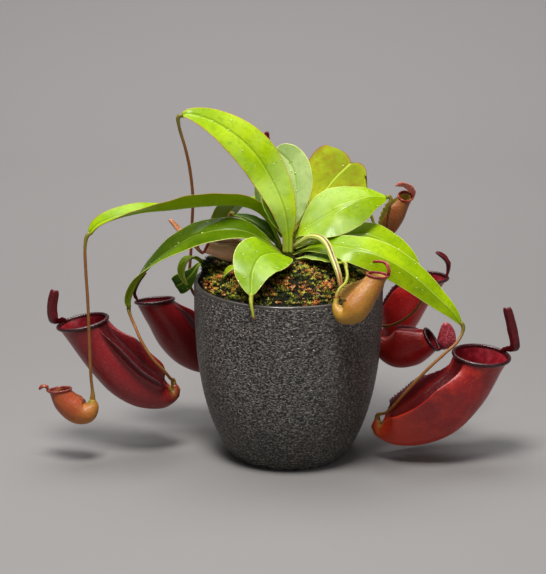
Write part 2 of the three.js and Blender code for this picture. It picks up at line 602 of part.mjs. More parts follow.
function pitcherGeometry(pitcher) {
  const curve = smoothCurve(pitcher.path);
  const across = vec(pitcher.side).normalize();
  const mouthWay = vec(pitcher.mouth).normalize();
  const [near, far = near] = [pitcher.wing].flat();

  // One ring at u, with a share of the two wings, at a radius larger or smaller than the skin's.
  const ring = (u, extra, share, lift = 0) => {
    const forward = curve.getTangentAt(u);
    const side = across.clone().addScaledVector(forward, -across.dot(forward)).normalize();
    const front = side.clone().cross(forward);
    const tilt = smooth(u, 0.45, 1);
    const plane = forward.clone().lerp(mouthWay, tilt).normalize();
    const radius = sampleList(pitcher.radii, curve.getUtoTmapping(u)) + extra;
    const centre = curve.getPointAt(u).addScaledVector(plane, lift);
    return PITCHER_ANGLES.map((degree) => {
      const angle = degrees(degree);
      const height = WING_TIP.includes(Math.min(degree, 360 - degree)) ? share : 0;
      const wing = height * (degree < 180 ? near : far);
      const flat = front.clone().multiplyScalar(Math.cos(angle)).addScaledVector(side, Math.sin(angle));
      flat.multiplyScalar(radius + wing);
      return centre.clone().add(flat).addScaledVector(forward, -flat.dot(plane) / forward.dot(plane));
    });
  };

  const rows = [];
  const from = pitcher.wingFrom ?? 0.05;
  for (let i = 0; i <= pitcher.rings; i += 1) {
    const u = i / pitcher.rings;
    const tooth = i % 2 ? 1 : WING_TOOTH;
    const rise = smooth(u, from, from + (pitcher.wingRise ?? WING_RISE)) * (1 - smooth(u, 0.93, 1));
    rows.push(ring(u, 0, tooth * rise));
  }
  rows.push(ring(1, COLLAR_FLARE, 0, 0.4), ring(1, COLLAR_FLARE * 0.5, 0, COLLAR_HEIGHT));
  const cavityRings = Math.round(pitcher.rings / 2);
  for (let i = cavityRings; i >= 0; i -= 1) {
    const u = THREE.MathUtils.lerp(CAVITY_START, 1, i / cavityRings);
    rows.push(ring(u, -PITCHER_WALL, 0, i === cavityRings ? 0.6 : 0));
  }
  const cup = loftBody(rows);

  const forward = curve.getTangentAt(1);
  const side = across.clone().addScaledVector(forward, -across.dot(forward)).normalize();
  const back = forward.clone().cross(side);
  const rimWay = back.clone().addScaledVector(forward, -back.dot(mouthWay) / forward.dot(mouthWay));
  const root = curve.getPointAt(1).addScaledVector(rimWay, sampleList(pitcher.radii, 1) + 0.3);
  const neck = root.clone().addScaledVector(mouthWay, COLLAR_HEIGHT + 1.2);
  const lidCurve = smoothCurve([root, neck, ...pitcher.lid.path]);
  const lid = bladeGeometry(lidCurve, { ...LID, ...pitcher.lid, roll: [pitcher.lid.roll, pitcher.lid.roll] });
  return geometryOf(solidOf(cup).add(solidOf(lid)));
}

const plant = new THREE.Group();

function add(name, geometry, material) {
  const finish = new THREE.MeshStandardMaterial({ ...MATERIALS[material], metalness: 0 });
  const mesh = new THREE.Mesh(geometry, finish);
  mesh.name = name;
  plant.add(mesh);
}

add('pot', potGeometry(), 'pot');
add('soil', soilGeometry(), 'soil');
add('moss', mossGeometry(), 'moss');
add('stem', stemGeometry(), 'stem');
add('leaf_rolled', rolledLeafGeometry(), 'rolledLeaf');

for (const [name, leaf] of Object.entries(LEAVES)) {
  add(name, bladeGeometry(leafCurve(leaf), leaf), leaf.material);
}
for (const [name, points] of Object.entries(TENDRILS)) {
  const number = name.slice(-2);
  const pitcher = PITCHERS[`pitcher_${number}`];
  const leaf = leafCurve(LEAVES[`leaf_${number}`]);
  add(name, tendrilGeometry(points, leaf, pitcher && smoothCurve(pitcher.path)), 'tendril');
}
for (const [name, pitcher] of Object.entries(PITCHERS)) {
  add(name, pitcherGeometry(pitcher), pitcher.material);
}

export default plant;
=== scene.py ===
# A tropical pitcher plant in a round dark pot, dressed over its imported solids.
# The tables are in millimetres and degrees, as on the solids, and every mesh is made in metres.

import math

import bmesh
import bpy
import numpy as np
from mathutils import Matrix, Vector, noise


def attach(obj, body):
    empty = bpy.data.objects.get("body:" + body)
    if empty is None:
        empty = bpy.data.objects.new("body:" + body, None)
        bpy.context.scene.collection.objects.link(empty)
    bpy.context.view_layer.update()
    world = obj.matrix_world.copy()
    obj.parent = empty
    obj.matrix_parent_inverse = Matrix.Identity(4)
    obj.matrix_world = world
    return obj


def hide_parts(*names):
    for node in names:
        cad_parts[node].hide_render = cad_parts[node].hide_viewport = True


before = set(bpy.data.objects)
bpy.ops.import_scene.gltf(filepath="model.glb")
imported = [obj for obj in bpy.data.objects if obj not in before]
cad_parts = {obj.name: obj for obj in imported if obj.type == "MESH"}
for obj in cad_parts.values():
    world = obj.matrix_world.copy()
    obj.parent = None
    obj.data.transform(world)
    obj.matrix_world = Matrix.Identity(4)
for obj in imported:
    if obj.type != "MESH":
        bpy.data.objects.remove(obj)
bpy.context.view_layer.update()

MM = 0.001
BODY = "root"
TURN = 2 * np.pi

# Camera, worked out from the pot's outline and rim, and the size of the picture
PICTURE_HEIGHT = 574
FOCAL_PIXELS = 2430
SENSOR = 36
CAMERA_PLACE = (-0.01148, -1.72677, 0.64321)
CAMERA_DOWN = 16.57

# Pot: its form, its mesh, and the wrinkles of its face, which fade out below the smooth rim
POT_HEIGHT = 135
POT_RADIUS = 70
POT_BASE_RADIUS = 41.4
POT_SHOULDER = 2.83
POT_ROUNDNESS = 1.27
POT_WALL = 3.6
POT_FLOOR = 4
POT_RIM_ROUND = 1.2
POT_SIDES = 560
POT_ROWS = 128
POT_FOOT_ROWS = (0.4, 0.9, 1.6)
POT_ROWS_START = 2.4
POT_INNER_ROWS = 16
POT_BASE_SHARES = (0.02, 0.5, 0.9)
POT_BASE_EDGE = 0.6
POT_RIM_ROWS = 5
POT_WRINKLE = 0.3
POT_WRINKLE_SIZE = 2.4
POT_WRINKLE_SHAPE = (0.8, 0.8, 1.3)
POT_WRINKLE_END = 3.4
POT_SMOOTH_RIM = 1.8

# Soil, moss and stem
MOUND_TOP = 153
MOUND_FALL = 20
MOUND_POWER = 3.2
MOSS_THICKNESS = 6
MOSS_LUMP = 1.6
MOSS_LUMP_SIZE = 7
STEM_HOLE_DEPTH = 20
GAP = 0.3
ROOT_GAP = 0.6
STEM_FOOT_RADIUS = 4.6
STEM_TIP_RADIUS = 3.4
STEM_TOP = 178
HOLE_RADIUS = STEM_FOOT_RADIUS + GAP
MOSS_RADIUS = POT_RADIUS - POT_WALL - GAP
CROWN_RADIUS = 20

# The stem's round end: depths below its top and the share of its radius there, and its leaf scars
STEM_END = ((2.2, 0.97), (1.4, 0.85), (0.8, 0.62), (0.3, 0.35), (0, 0.05))
STEM_FOOT_BEVEL = (1, 0.4)
SCAR_DEPTH = 0.14
SCAR_PITCH = 1.9
STEM_ROWS = 60
STEM_SIDES = 28

# Seeds of the random draws; a leaf or pitcher adds its place in its table to its own
TUFT_SEED, CRUMB_SEED, ROOT_SEED, LEAF_SEED, PITCHER_SEED = 21, 5, 11, 100, 300

# The moss's mesh, the bank where it stands higher than the rim, and its tufts and their sprigs
MOSS_SIDES = 150
MOSS_RINGS = 46
UNDER_STEP = 9
BANK_ANGLE = 174
BANK_SPREAD = 17
BANK_HEIGHT = 11
BANK_RADII = (46, 60)
TUFTS = 3600
TUFT_MARGINS = (4, 1.2)
TUFT_SINK = 0.5
BARE_RADII = (16, 36)
CROWN_TUFTS = 0.3
TUFT_SIZE = (0.7, 1.9)
TUFT_SPREAD = 0.7
FEWEST_SPRIGS = 5
SPRIGS_PER_SIZE = 2.4
SPRIG_LEAN = 0.45
SPRIG_FLATNESS = (1, 1, 0.3)
SPRIG_HEIGHT = (1.5, 3.1)
SPRIG_GROWTH = (0.75, 0.16)
SPRIG_RADIUS = (0.24, 0.44)
SPRIG_OVERHANG = 0.2
SPIKE_TURNS = np.radians([90, 210, 330])

# Colours of the tufts: the sizes of their patches, where the dark tufts thin out towards the front,
# so that the back under the leaves is darker with painted shade, the limits below which a tuft is
# green or dark, and the places of each kind on the moss's row of colours
PATCH_SIZE = 11
DARK_PATCH_SIZE = 22
DARK_PATCH_SHIFT = 70
BACK_SHADE_FADE = (-10, 50)
GREEN_LIMIT = 0.66
DARK_LIMIT = 0.62
GREEN_PICK = (0.34, 0.62)
RUST_PICK = (0.7, 0.95)
DARK_PICK = (0.02, 0.28)
PICK_SCATTER = 0.025
SPRIG_WETNESS = 0.6
MOUND_SPOT = (0.05, 0.2, 0, 0)

# Loose crumbs round the crown, with their sizes, and places of dry roots with the radii of a root
CRUMBS = 190
CRUMB_SIZE = (0.6, 1.9)
CRUMB_SIDES = 8
CRUMB_ROWS = (-0.95, -0.6, 0, 0.6, 0.95)
CRUMB_SQUASH = 0.8
CRUMB_RISE = 0.3
CROWN_CRUMBS = 0.8
CROWN_FIELD = (HOLE_RADIUS + 1.5, CROWN_RADIUS + 6)
OUTER_FIELD = (20, 60)
ROOT_PLACES = ((24, -59), (22, -55), (-64, -14), (-66, 5), (-63, 12), (-20, -60), (-48, -38), (44, -46),
               (8, -62), (-36, -52))
ROOT_RADII = (0.32, 0.14)
ROOT_POINTS = 12
ROOT_SIDES = 6
ROOT_BENDS = 4
ROOT_STEP = (1.4, 2.4)
ROOT_LEAN = 0.6
ROOT_TURN = 0.7

# Leaves: stations are this far apart, and columns lie at these shares of the half width
STATION = 2.2
FEWEST_STATIONS = 10
COLUMNS = np.array([0, 0.025, 0.06, 0.11, 0.18, 0.27, 0.38, 0.5, 0.62, 0.74, 0.85, 0.93, 0.975, 1])
STALK_HALF_WIDTH = 2.3
TIP_HALF_WIDTH = 1.3
BLADE_THICKNESS = 0.8
MARGIN_THICKNESS = 0.5
MARGIN_START = 0.7
RIB_DEPTH = 1.1
RIB_HALF_WIDTH = 1.3
GROOVE_DEPTH = 0.35
GROOVE_HALF_WIDTH = 0.8
FOLD_SHARE = 0.05
LOBE_START = 0.55

# Waves of the margins: their height, their number along the leaf, and how much finer the second are
MARGIN_WAVE = 0.45
WAVES = (2.2, 3.6)
FINE_WAVES = 2.3
FULL_WAVE_HALF = 12
LID_WAVE = 0.35

# Drops of water on leaves wider than a seedling's: radii, rows they lie on, and their domed form
DROP_LEAF_HALF = 8
DROPS_PER_HALF = 1.1
DROP_RADIUS = (0.35, 0.95)
DROP_ROWS = (0.15, 0.92)
DROP_SIDES = 10
DROP_PROFILE = ((1, -0.15), (0.97, 0.12), (0.75, 0.4), (0.35, 0.55))

# The rolled leaf has a seam at this share of a turn and one across from it
ROLL_SEAM = 0.3
SEAM_DEPTH = 0.22
SEAM_WIDTH = 0.035
ROLL_OVAL = 0.07
ROLLED_ROWS = 60
ROLLED_SIDES = 40

# Tendrils: they start inside the leaf's tip, thicken just after it, and widen to the pitcher's foot
TENDRIL_RADIUS = 1.15
TENDRIL_SIDES = 12
TENDRIL_STEP = 1.6
TENDRIL_SINK = 1.2
TENDRIL_START = 2.3
TENDRIL_KNOT = 0.45
TENDRIL_KNOT_AT = 3
TENDRIL_KNOT_LENGTH = 4.5
TENDRIL_FLARE = 9
TENDRIL_INSIDE = (-3, 0.6)
TENDRIL_FIT = 0.98
FREE_TIP = 0.7
FEWEST_RINGS = 12
TENDRIL_WAVER = 0.05
TENDRIL_WAVER_SIZE = 6
TENDRIL_FINISH = {"01": "red", "04": "green", "10": "green", "11": "green"}

# Pitchers: walls, rows and columns of the mesh, collar and hollow
PITCHER_WALL = 1.1
PITCHER_ROWS = 64
BACK_COLUMNS = 84
FRONT_COLUMNS = 7
LEVEL_START = 0.45
COLLAR_HEIGHT = 1.3
COLLAR_ROWS = 15
COLLAR_ARC = (-75, 195)
LIP_LEAST = 0.3
LIP_SHARE = 0.07
LIP_MOST = 1.35
LIP_OUT = 0.3
LIP_UP = 0.5
SKIN_END = 1.1
CAVITY_TOP = 0.6
CAVITY_START = 0.32
CAVITY_ROWS = 22
LID_ROOT = 0.3
LID_NECK = 1.2
SKIN, COLLAR, INSIDE, LID_SLOT = range(4)

# Wings: their angle from the front, where they fade, their scallops and bristles
WING_ANGLE = 18.5
WING_FALL = 0.74
SCALLOP = 0.07
SCALLOP_PITCH = 1.5
FULL_SECTION_RADIUS = 12
BRISTLE_STEP = 1.5
BRISTLE_LENGTH = (0.9, 2.3)
BRISTLE_RADIUS = 0.17
BRISTLE_SPOT = (0.1, 0.6, 1, 0)
BRISTLE_START = 4
BRISTLE_END = 0.96
BRISTLE_SCATTER = 0.5
BRISTLE_SPIN = 3
BRISTLE_REACH = 2.5
BRISTLE_FOOT = (0.9, 0.2)
SMALL_BRISTLE = 0.35
BARE_WING = 0.4

# The cross-section of a wing: the share of its height, and the distance from its middle.
# The near wing is a ridge that runs out softly over the cup, nearly in its colour. Where it is the
# higher one it is a thin flap, as the far wing is.
SOFT_WING = ((0, -2.4), (0.05, -1.7), (0.2, -1.1), (0.5, -0.75), (0.85, -0.45), (1, -0.1),
             (0.99, 0.6), (0.9, 1.8), (0.68, 4), (0.4, 7.5), (0.13, 12), (0, 16))
SOFT_WING_TONE = 0.03
THIN_WING = ((0, -2.2), (0.04, -1.3), (0.2, -0.7), (0.55, -0.42), (0.9, -0.3), (1, -0.14),
             (1, 0.14), (0.9, 0.3), (0.55, 0.42), (0.2, 0.7), (0.04, 1.3), (0, 2.2))

# Stage, in metres: its colours at the front and at the back and where the one gives way to the other,
# its ends and its bend, and each light's place, aim, size, power and colour. The floor is painted darker
# at the front than the back wall: painted shade that evens out the stronger light on the floor.
STAGE_COLOUR = (0.234, 0.226, 0.224)
STAGE_BACK_COLOUR = (0.47, 0.45, 0.449)
STAGE_SHADE = (0.2, 1.5)
STAGE_HALF_WIDTH = 3.5
STAGE_FRONT = -3
STAGE_BACK = 0.9
STAGE_BEND = 1.2
STAGE_TOP = 4
LIGHTS = (
    ("key_light", (-0.12, -0.5, 1.35), (0, 0, 0.1), (0.4, 0.4), 22, (1, 0.98, 0.95)),
    ("fill_light", (1.2, -1.2, 0.9), (0, 0, 0.1), (1, 1), 2.5, (1, 1, 1)),
    ("top_light", (-0.15, 0.35, 1.3), (0, 0, 0.15), (1.1, 0.8), 14, (1, 1, 1)),
)
SKY_COLOUR = (1, 1, 1)
SKY_STRENGTH = 0.15

# What a leaf has unless its own row says otherwise. It grows from the stem at root, an angle and a
# height, or from a foot in the moss, and follows its path. half is its greatest half width, skew moves
# that towards the tip, full below 1 makes the blade fuller, and stalk is the share with no blade.
# roll turns the blade about its path, fold is the angle of its halves, and cup curls them further.
LEAF = dict(seat=0, skew=1, full=0.8, stalk=0.1, roll=(0, 0, 0), fold=(10, 10), cup=0, slim=1, lobes=(0, 0),
            root_width=STALK_HALF_WIDTH, tip=TIP_HALF_WIDTH, slot="leaf", finish="fresh")

LEAVES = dict(
    leaf_01=dict(
        LEAF, root=(-97, 157), seat=2, half=16.5, skew=1.1, full=0.75, root_width=3.6, cup=-12,
        roll=(-85, -62, -60, -50, -40), fold=(6, 14, 12, 10), finish="rosy",
        path=((-1, -7.5, 172), (-4, -6, 191), (-13, 2, 211), (-26, 7, 230.5), (-42, 10, 244.5),
              (-59, 12, 254), (-74, 12, 258), (-78.5, 12, 256.5)),
    ),
    leaf_02=dict(
        LEAF, root=(172, 161), half=13.5, full=0.6, stalk=0.08, roll=(0, 24, 40, 32, 2, -20),
        fold=(6, 22, 20, 22, 26), finish="twisted",
        path=((-13, 2, 178), (-22, 1, 188), (-36, -5, 194.5), (-61, -12, 196), (-86, -17, 194.5),
              (-108, -20, 193), (-128, -23, 188.5), (-139, -24, 183.5), (-145, -25, 177)),
    ),
    leaf_03=dict(
        LEAF, root=(-155, 156), half=15, skew=0.9, full=0.7, stalk=0.08, roll=(0, -15, -14, 0, 30),
        fold=(14, 10, 20), cup=-10, finish="shaded",
        path=((-11, -8, 163), (-20, -11, 170), (-32, -13, 176), (-49, -13, 177), (-69, -11, 172),
              (-87, -8, 161), (-102, -4, 148), (-113, 0, 134), (-119, 3, 118), (-119, 4, 113)),
    ),
    leaf_04=dict(
        LEAF, foot=(0, -15, 155.2), half=19, skew=0.9, full=0.85, stalk=0.08, roll=(0, -26, -34, -26, -15),
        fold=(8, 6, 10), cup=-8, finish="front",
        path=((-4, -24, 161), (-12, -35, 165.5), (-21, -45, 165), (-26, -56, 157), (-27, -67, 143)),
    ),
    leaf_05=dict(
        LEAF, root=(-45, 156), half=13.5, skew=0.95, full=0.75, stalk=0.08, roll=(0, 25, 42, 42, 35),
        fold=(8, 0, -22, -25, -18),
        path=((17, -12, 163), (32, -20, 167), (46, -27, 167), (62, -32, 164), (78, -35, 157),
              (94, -37, 146), (108, -37, 133), (120, -36, 121), (126, -35, 112)),
    ),
    leaf_06=dict(
        LEAF, root=(74, 173), seat=0.5, half=15, skew=1.5, full=0.5, stalk=0.05, roll=(0, -40, -40, -30),
        fold=(2, 8, 6, 6), finish="pale",
        path=((4, 11, 187.5), (5, 15, 207.5), (0, 19, 220.5), (-10.5, 20.5, 229.5)),
    ),
    leaf_07=dict(
        LEAF, root=(46, 170.5), seat=0.5, half=12, skew=2.7, full=0.55, roll=(0, 15, 35, 35),
        fold=(4, 2, 0), tip=20, lobes=(3, 6), slot="old_leaf", finish="old",
        path=((11, 20, 181), (24, 34, 190), (35.5, 40, 203), (46.5, 43, 213)),
    ),
    leaf_08=dict(
        LEAF, root=(-12, 167), half=20, skew=0.95, full=0.75, stalk=0.05, roll=(0, 35, 45, 40, 35),
        fold=(10, 4, -14, -20), cup=-6, finish="painted_sheen",
        path=((12, -2, 175), (24, -4, 183), (36, -3, 190), (47, 0, 195), (60, 4, 198), (73, 9, 196)),
    ),
    leaf_09=dict(
        LEAF, root=(12, 159), half=12.5, full=0.75, roll=(0, 30, 38, 35), fold=(8, 6, 6), cup=-10,
        path=((23, 0, 166), (41, -1, 170), (61, -3, 170), (77, -6, 162), (88, -9, 152), (95, -12, 141),
              (98, -13, 131)),
    ),
    leaf_10=dict(
        LEAF, foot=(6, -14, 155.2), half=9.5, roll=(6, 14, 10), finish="painted_sheen",
        path=((13, -16, 157), (23, -21, 158.2), (32, -28, 158), (39, -33.5, 158)),
    ),
    leaf_11=dict(LEAF, root=(38, 163), half=9, path=((22, 17, 170), (42, 29, 175), (58, 36, 177))),
    leaf_12=dict(
        LEAF, root=(140, 157), half=9, slot="dark_leaf", finish="dark",
        path=((-17, 13, 170), (-30, 22, 176), (-41, 28, 178)),
    ),
    leaf_13=dict(
        LEAF, root=(108, 165), half=15, full=0.7, fold=(12, 12), cup=-10,
        path=((-10, 25, 180), (-24, 45, 185), (-40, 66, 176), (-52, 84, 155), (-57, 94, 134)),
    ),
    leaf_14=dict(
        LEAF, root=(84, 157), half=15, full=0.7, fold=(12, 12), cup=-10,
        path=((8, 26, 176), (15, 50, 184), (24, 74, 176), (31, 92, 157), (34, 102, 138)),
    ),
    leaf_15=dict(
        LEAF, root=(-178, 169), seat=0.4, half=8, roll=(0, -60, -80), fold=(6, 14, 16),
        slot="dark_leaf", finish="dark", path=((-7.5, -4.5, 175), (-12, -7, 188), (-19, -6, 201)),
    ),
    leaf_16=dict(
        LEAF, root=(132, 170), half=10, skew=1.2, full=1, roll=(0, -30, -20), finish="pale",
        path=((-10.5, 15, 186), (-18, 21, 195), (-24, 25, 204)),
    ),
    leaf_17=dict(
        LEAF, foot=(-60, 13, 138.2), half=6, stalk=0.2, root_width=1.3,
        path=((-65, 10, 147), (-71, 7, 151), (-77, 2, 148), (-79, 0, 140), (-75, -1, 131)),
    ),
    leaf_18=dict(
        LEAF, foot=(-58.5, 27, 135.6), half=3.5, skew=2.2, stalk=0.3, roll=(-30, -40, -60),
        root_width=1.2, tip=6.5, fold=(4, 4), slot="dark_leaf", finish="dark",
        path=((-66, 24, 141), (-72, 20, 134.5), (-78, 16.5, 129), (-84, 13.5, 126)),
    ),
    leaf_19=dict(
        LEAF, foot=(-48, -25, 143.4), half=3.5, roll=(40, 40, 40), root_width=1.2, tip=0.6, fold=(8, 8),
        path=((-45, -28, 150), (-38, -30, 155)),
    ),
)

ROLLED_LEAF = dict(
    root=(-44, 161), seat=0.4, radii=(1.6, 2.5, 2.7, 2.8, 2.7, 2.4, 2, 1.2),
    path=((9, -12, 167), (16, -19, 173), (23, -26, 174), (28, -34, 171), (32, -42, 163), (36, -52, 153),
          (38, -59, 141)),
)

TENDRILS = dict(
    tendril_01=((-80.5, 12, 250), (-79, 13, 243), (-76, 14, 232), (-73, 17, 216), (-71, 21, 193),
                (-72, 25, 170), (-73, 28, 150), (-74, 31, 122), (-67, 40, 105), (-57, 54, 87), (-50, 61, 68)),
    tendril_02=((-148, -26, 168), (-148, -26, 152), (-147, -26, 127), (-146.5, -25, 92), (-146, -25, 68)),
    tendril_03=((-117.5, 0, 107), (-113.5, -9, 101), (-109, -15, 92.5), (-101, -18, 80), (-92, -15, 68.5),
                (-88, -8, 60.5)),
    tendril_04=((-27, -72, 138), (-25, -76, 128)),
    tendril_05=((127, -36, 106), (122.5, -40, 99), (114, -43, 92), (101.5, -45, 80.5), (86, -38, 60),
                (73, -25, 40)),
    tendril_06=((-14, 23.5, 229.5), (-15, 27, 223), (-17.5, 30.5, 215), (-22, 30.5, 206.5)),
    tendril_08=((75, 9, 191), (74, 13, 182), (73, 20, 166), (74, 34, 144), (73, 48, 122), (69, 60, 97)),
    tendril_09=((99, -9, 124), (97, -2, 116), (92, 8, 106), (84, 20, 96), (76, 29, 90)),
    tendril_10=((41.5, -39, 155), (42, -48, 152), (40.5, -56, 149), (36, -63, 146.5)),
    tendril_11=((63, 38, 172), (66, 39, 161), (69, 37.5, 154)),
    tendril_12=((-44, 29, 174), (-42, 22, 165), (-32, 11, 159.5), (-23.5, 4, 160)),
    tendril_13=((-58, 99, 112), (-58, 102, 85), (-57, 103, 63)),
    tendril_14=((35, 106, 126), (33, 107, 112), (27, 106, 106), (23, 105, 112)),
)

# What a pitcher and its lid have unless their own row says otherwise. Its radii lie evenly along its
# path, side is the way across it, and mouth is the way its mouth faces. wing gives the heights of
# its wings, the near one on the side's side, which start at wing_from and are full after wing_rise.
PITCHER = dict(wing_from=0.05, wing_rise=0.25, slot="red_pitcher", family="red")
LID = dict(LEAF, half=4, skew=0.9, full=0.6, stalk=0.14, root_width=1.1, tip=1, slim=0.6, fold=(16, 16),
           cup=16)

PITCHERS = dict(
    pitcher_01=dict(
        PITCHER, radii=(2.2, 4.5, 10, 14.5, 16, 14.5, 12.2), side=(0.1, 1, 0.1), mouth=(-0.07, 0.14, 1),
        wing=(6, 6), wing_from=0.25, family="crimson",
        path=((-51, 61, 54), (-55, 61, 49.5), (-64, 60, 52), (-75, 57, 62), (-85, 52.5, 76), (-93, 48, 91),
              (-101.5, 44, 105)),
        lid=dict(LID, path=((-117, 43, 111.5), (-114, 43, 120), (-108.5, 44, 128))),
    ),
    pitcher_02=dict(
        PITCHER, radii=(2.2, 5.4, 8.6, 10, 9.6, 7.4), side=(0, 1, 0), mouth=(-0.1, 0.08, 1),
        wing=(1.2, 1.2), wing_from=0.5, wing_rise=0.3, slot="orange_pitcher", family="coral",
        path=((-145.3, -24, 50), (-145.8, -24, 44.5), (-150, -24, 40), (-156.5, -23, 40.7),
              (-163.7, -23, 47), (-169.5, -23, 56.5)),
        lid=dict(LID, path=((-181, -23, 60), (-185, -23, 58)), half=1.8),
    ),
    pitcher_03=dict(
        PITCHER, radii=(2.2, 5, 10.5, 15.5, 17.5, 17.5, 16.5, 17), side=(0.5, 1, 0.5), mouth=(-0.2, 0, 1),
        wing=(11, 11), family="crimson",
        path=((-86, 0, 53.5), (-85.3, 0, 48), (-93, 0, 45.5), (-106, 0, 50), (-120, 0, 59.5),
              (-132, 0, 72.5), (-143.5, 0, 87), (-153, 0, 101.4)),
        lid=dict(LID, path=((-174.5, 0, 102.5), (-176, 0, 113), (-173.5, 0, 127)), half=3.8, full=0.3,
                 tip=2.6, roll=(45, 45), root_width=2.2),
    ),
    pitcher_05=dict(
        PITCHER, radii=(2.2, 5.2, 11, 17, 20.5, 20, 18, 19), side=(0.5, -1, -0.5), mouth=(0.1, -0.07, 1),
        wing=(14, 14), wing_from=0.03, wing_rise=0.16,
        path=((66.5, -17, 31.5), (66.5, -17.3, 25.7), (77, -18, 23.7), (94, -19, 29), (111.5, -20, 40),
              (125.5, -20, 54.5), (136, -20, 69), (142.5, -20, 82)),
        lid=dict(LID, path=((166.5, -20, 88), (164, -20, 104), (160, -20, 119.5)), half=3.8, full=0.3,
                 tip=2.6, root_width=2.2),
    ),
    pitcher_06=dict(
        PITCHER, radii=(1.5, 3.2, 3.6, 3.4), side=(0, -1, 0), mouth=(0.2, 0, 1), wing=(1, 1),
        path=((-24, 29, 210), (-26, 28, 217), (-23, 27, 225), (-20, 26, 231)),
        lid=dict(LID, path=((-16, 27, 237), (-16, 27, 241)), half=2.4),
    ),
    pitcher_08=dict(
        PITCHER, radii=(2.2, 3.2, 6.5, 11, 13.5, 13, 14), side=(0, -1, 0), mouth=(0, 0, 1), wing=(5, 5),
        wing_from=0.3, family="bright",
        path=((68, 62, 82), (69, 62, 76), (74, 61, 73), (80, 60, 76), (87, 58, 88), (96, 55, 105),
              (105, 52, 121)),
        lid=dict(LID, path=((122, 52, 126), (121, 52, 134), (113, 52, 142))),
    ),
    pitcher_09=dict(
        PITCHER, radii=(2.2, 4, 9.5, 14, 14.5, 12, 9), side=(0, -1, 0), mouth=(0.8, -0.15, 0.58), wing=(3, 3),
        wing_from=0.25, family="pink",
        path=((68, 36, 84), (68, 36, 78), (73, 35, 72.5), (82, 33, 70.5), (93, 30, 73), (101, 27, 77),
              (108, 23, 81)),
        lid=dict(LID, path=((118, 12, 79), (119, 11, 88), (118, 12, 98)), half=7.5, roll=(-30, -30)),
    ),
    pitcher_10=dict(
        PITCHER, radii=(1.6, 2.9, 6.6, 10.3, 9, 6.6), side=(0, -1, 0), mouth=(0.14, 0, 1), wing=(8, 0.8),
        wing_from=0.04, wing_rise=0.3, slot="orange_pitcher", family="orange",
        path=((34, -66.5, 140.5), (33.5, -68.8, 135), (38, -70.6, 130.2), (45.5, -69.8, 133.3),
              (54.6, -66, 144.5), (63.3, -62, 156.5)),
        lid=dict(LID, path=((71.5, -60, 161), (68, -56, 165), (60.5, -52.5, 164.5)), half=1.2),
    ),
    pitcher_11=dict(
        PITCHER, radii=(1.6, 5, 6.4, 5.6, 5.2), side=(0.4, -1, 0), mouth=(0.2, -0.5, 1), wing=(5, 5),
        slot="orange_pitcher", family="salmon",
        path=((73, 35, 157.5), (76, 34, 164.5), (80.5, 32.5, 175), (84.3, 31, 184), (87.5, 30, 191)),
        lid=dict(LID, path=((91, 29, 196), (86, 28, 200), (80, 27, 201)), half=4.4),
    ),
    pitcher_12=dict(
        PITCHER, radii=(1.8, 5.3, 7.6, 6.8, 5.8, 5.4), side=(0, 1, 0), mouth=(-0.85, 0.05, 0.4), wing=(2, 2),
        slot="tan_pitcher", family="tan",
        path=((-27, -4, 159), (-33, -5, 158), (-40, -5, 158), (-47.5, -4, 158.5), (-54, -3, 160),
              (-60, -2, 161.5)),
        lid=dict(LID, path=((-72, 3, 164), (-81, 10, 170), (-88, 13, 178)), half=3.2),
    ),
    pitcher_13=dict(
        PITCHER, radii=(2.2, 4, 8, 12, 13.5, 13, 14), side=(0, -1, 0), mouth=(0, 0, 1), wing=(5, 5),
        wing_from=0.25,
        path=((-56, 102, 51), (-55, 103, 46), (-50, 104, 43), (-42, 105, 46), (-34, 106, 56),
              (-28, 106, 73), (-24, 106, 90)),
        lid=dict(LID, path=((-6, 106, 97), (-5, 106, 107), (-9, 106, 117)), half=4.5),
    ),
)


def unit(v):
    """The same directions with length 1."""
    return v / np.linalg.norm(v, axis=-1, keepdims=True)


def smoothstep(x, low, high):
    """0 below low and 1 above high, smoothly between."""
    t = np.clip((np.asarray(x, float) - low) / (high - low), 0, 1)
    return t * t * (3 - 2 * t)


def sample_list(values, t):
    """Value of a list of numbers at a place from 0 to 1 along it, smoothly between neighbours."""
    values = np.array(values, float)
    last = len(values) - 1
    place = np.clip(np.asarray(t, float), 0, 1) * last
    i = np.minimum(place.astype(int), last - 1)
    k = place - i
    slope_a = (values[i + 1] - values[np.maximum(i - 1, 0)]) / 2
    slope_b = (values[np.minimum(i + 2, last)] - values[i]) / 2
    return ((2 * k**3 - 3 * k**2 + 1) * values[i] + (k**3 - 2 * k**2 + k) * slope_a
            + (3 * k**2 - 2 * k**3) * values[i + 1] + (k**3 - k**2) * slope_b)


def relief(points, size, octaves=2):
    """Smooth random heights from about -1 to 1, in lumps of a size in millimetres."""
    return np.array([noise.fractal(Vector(p) / size, 1, 2, octaves) for p in np.asarray(points)])


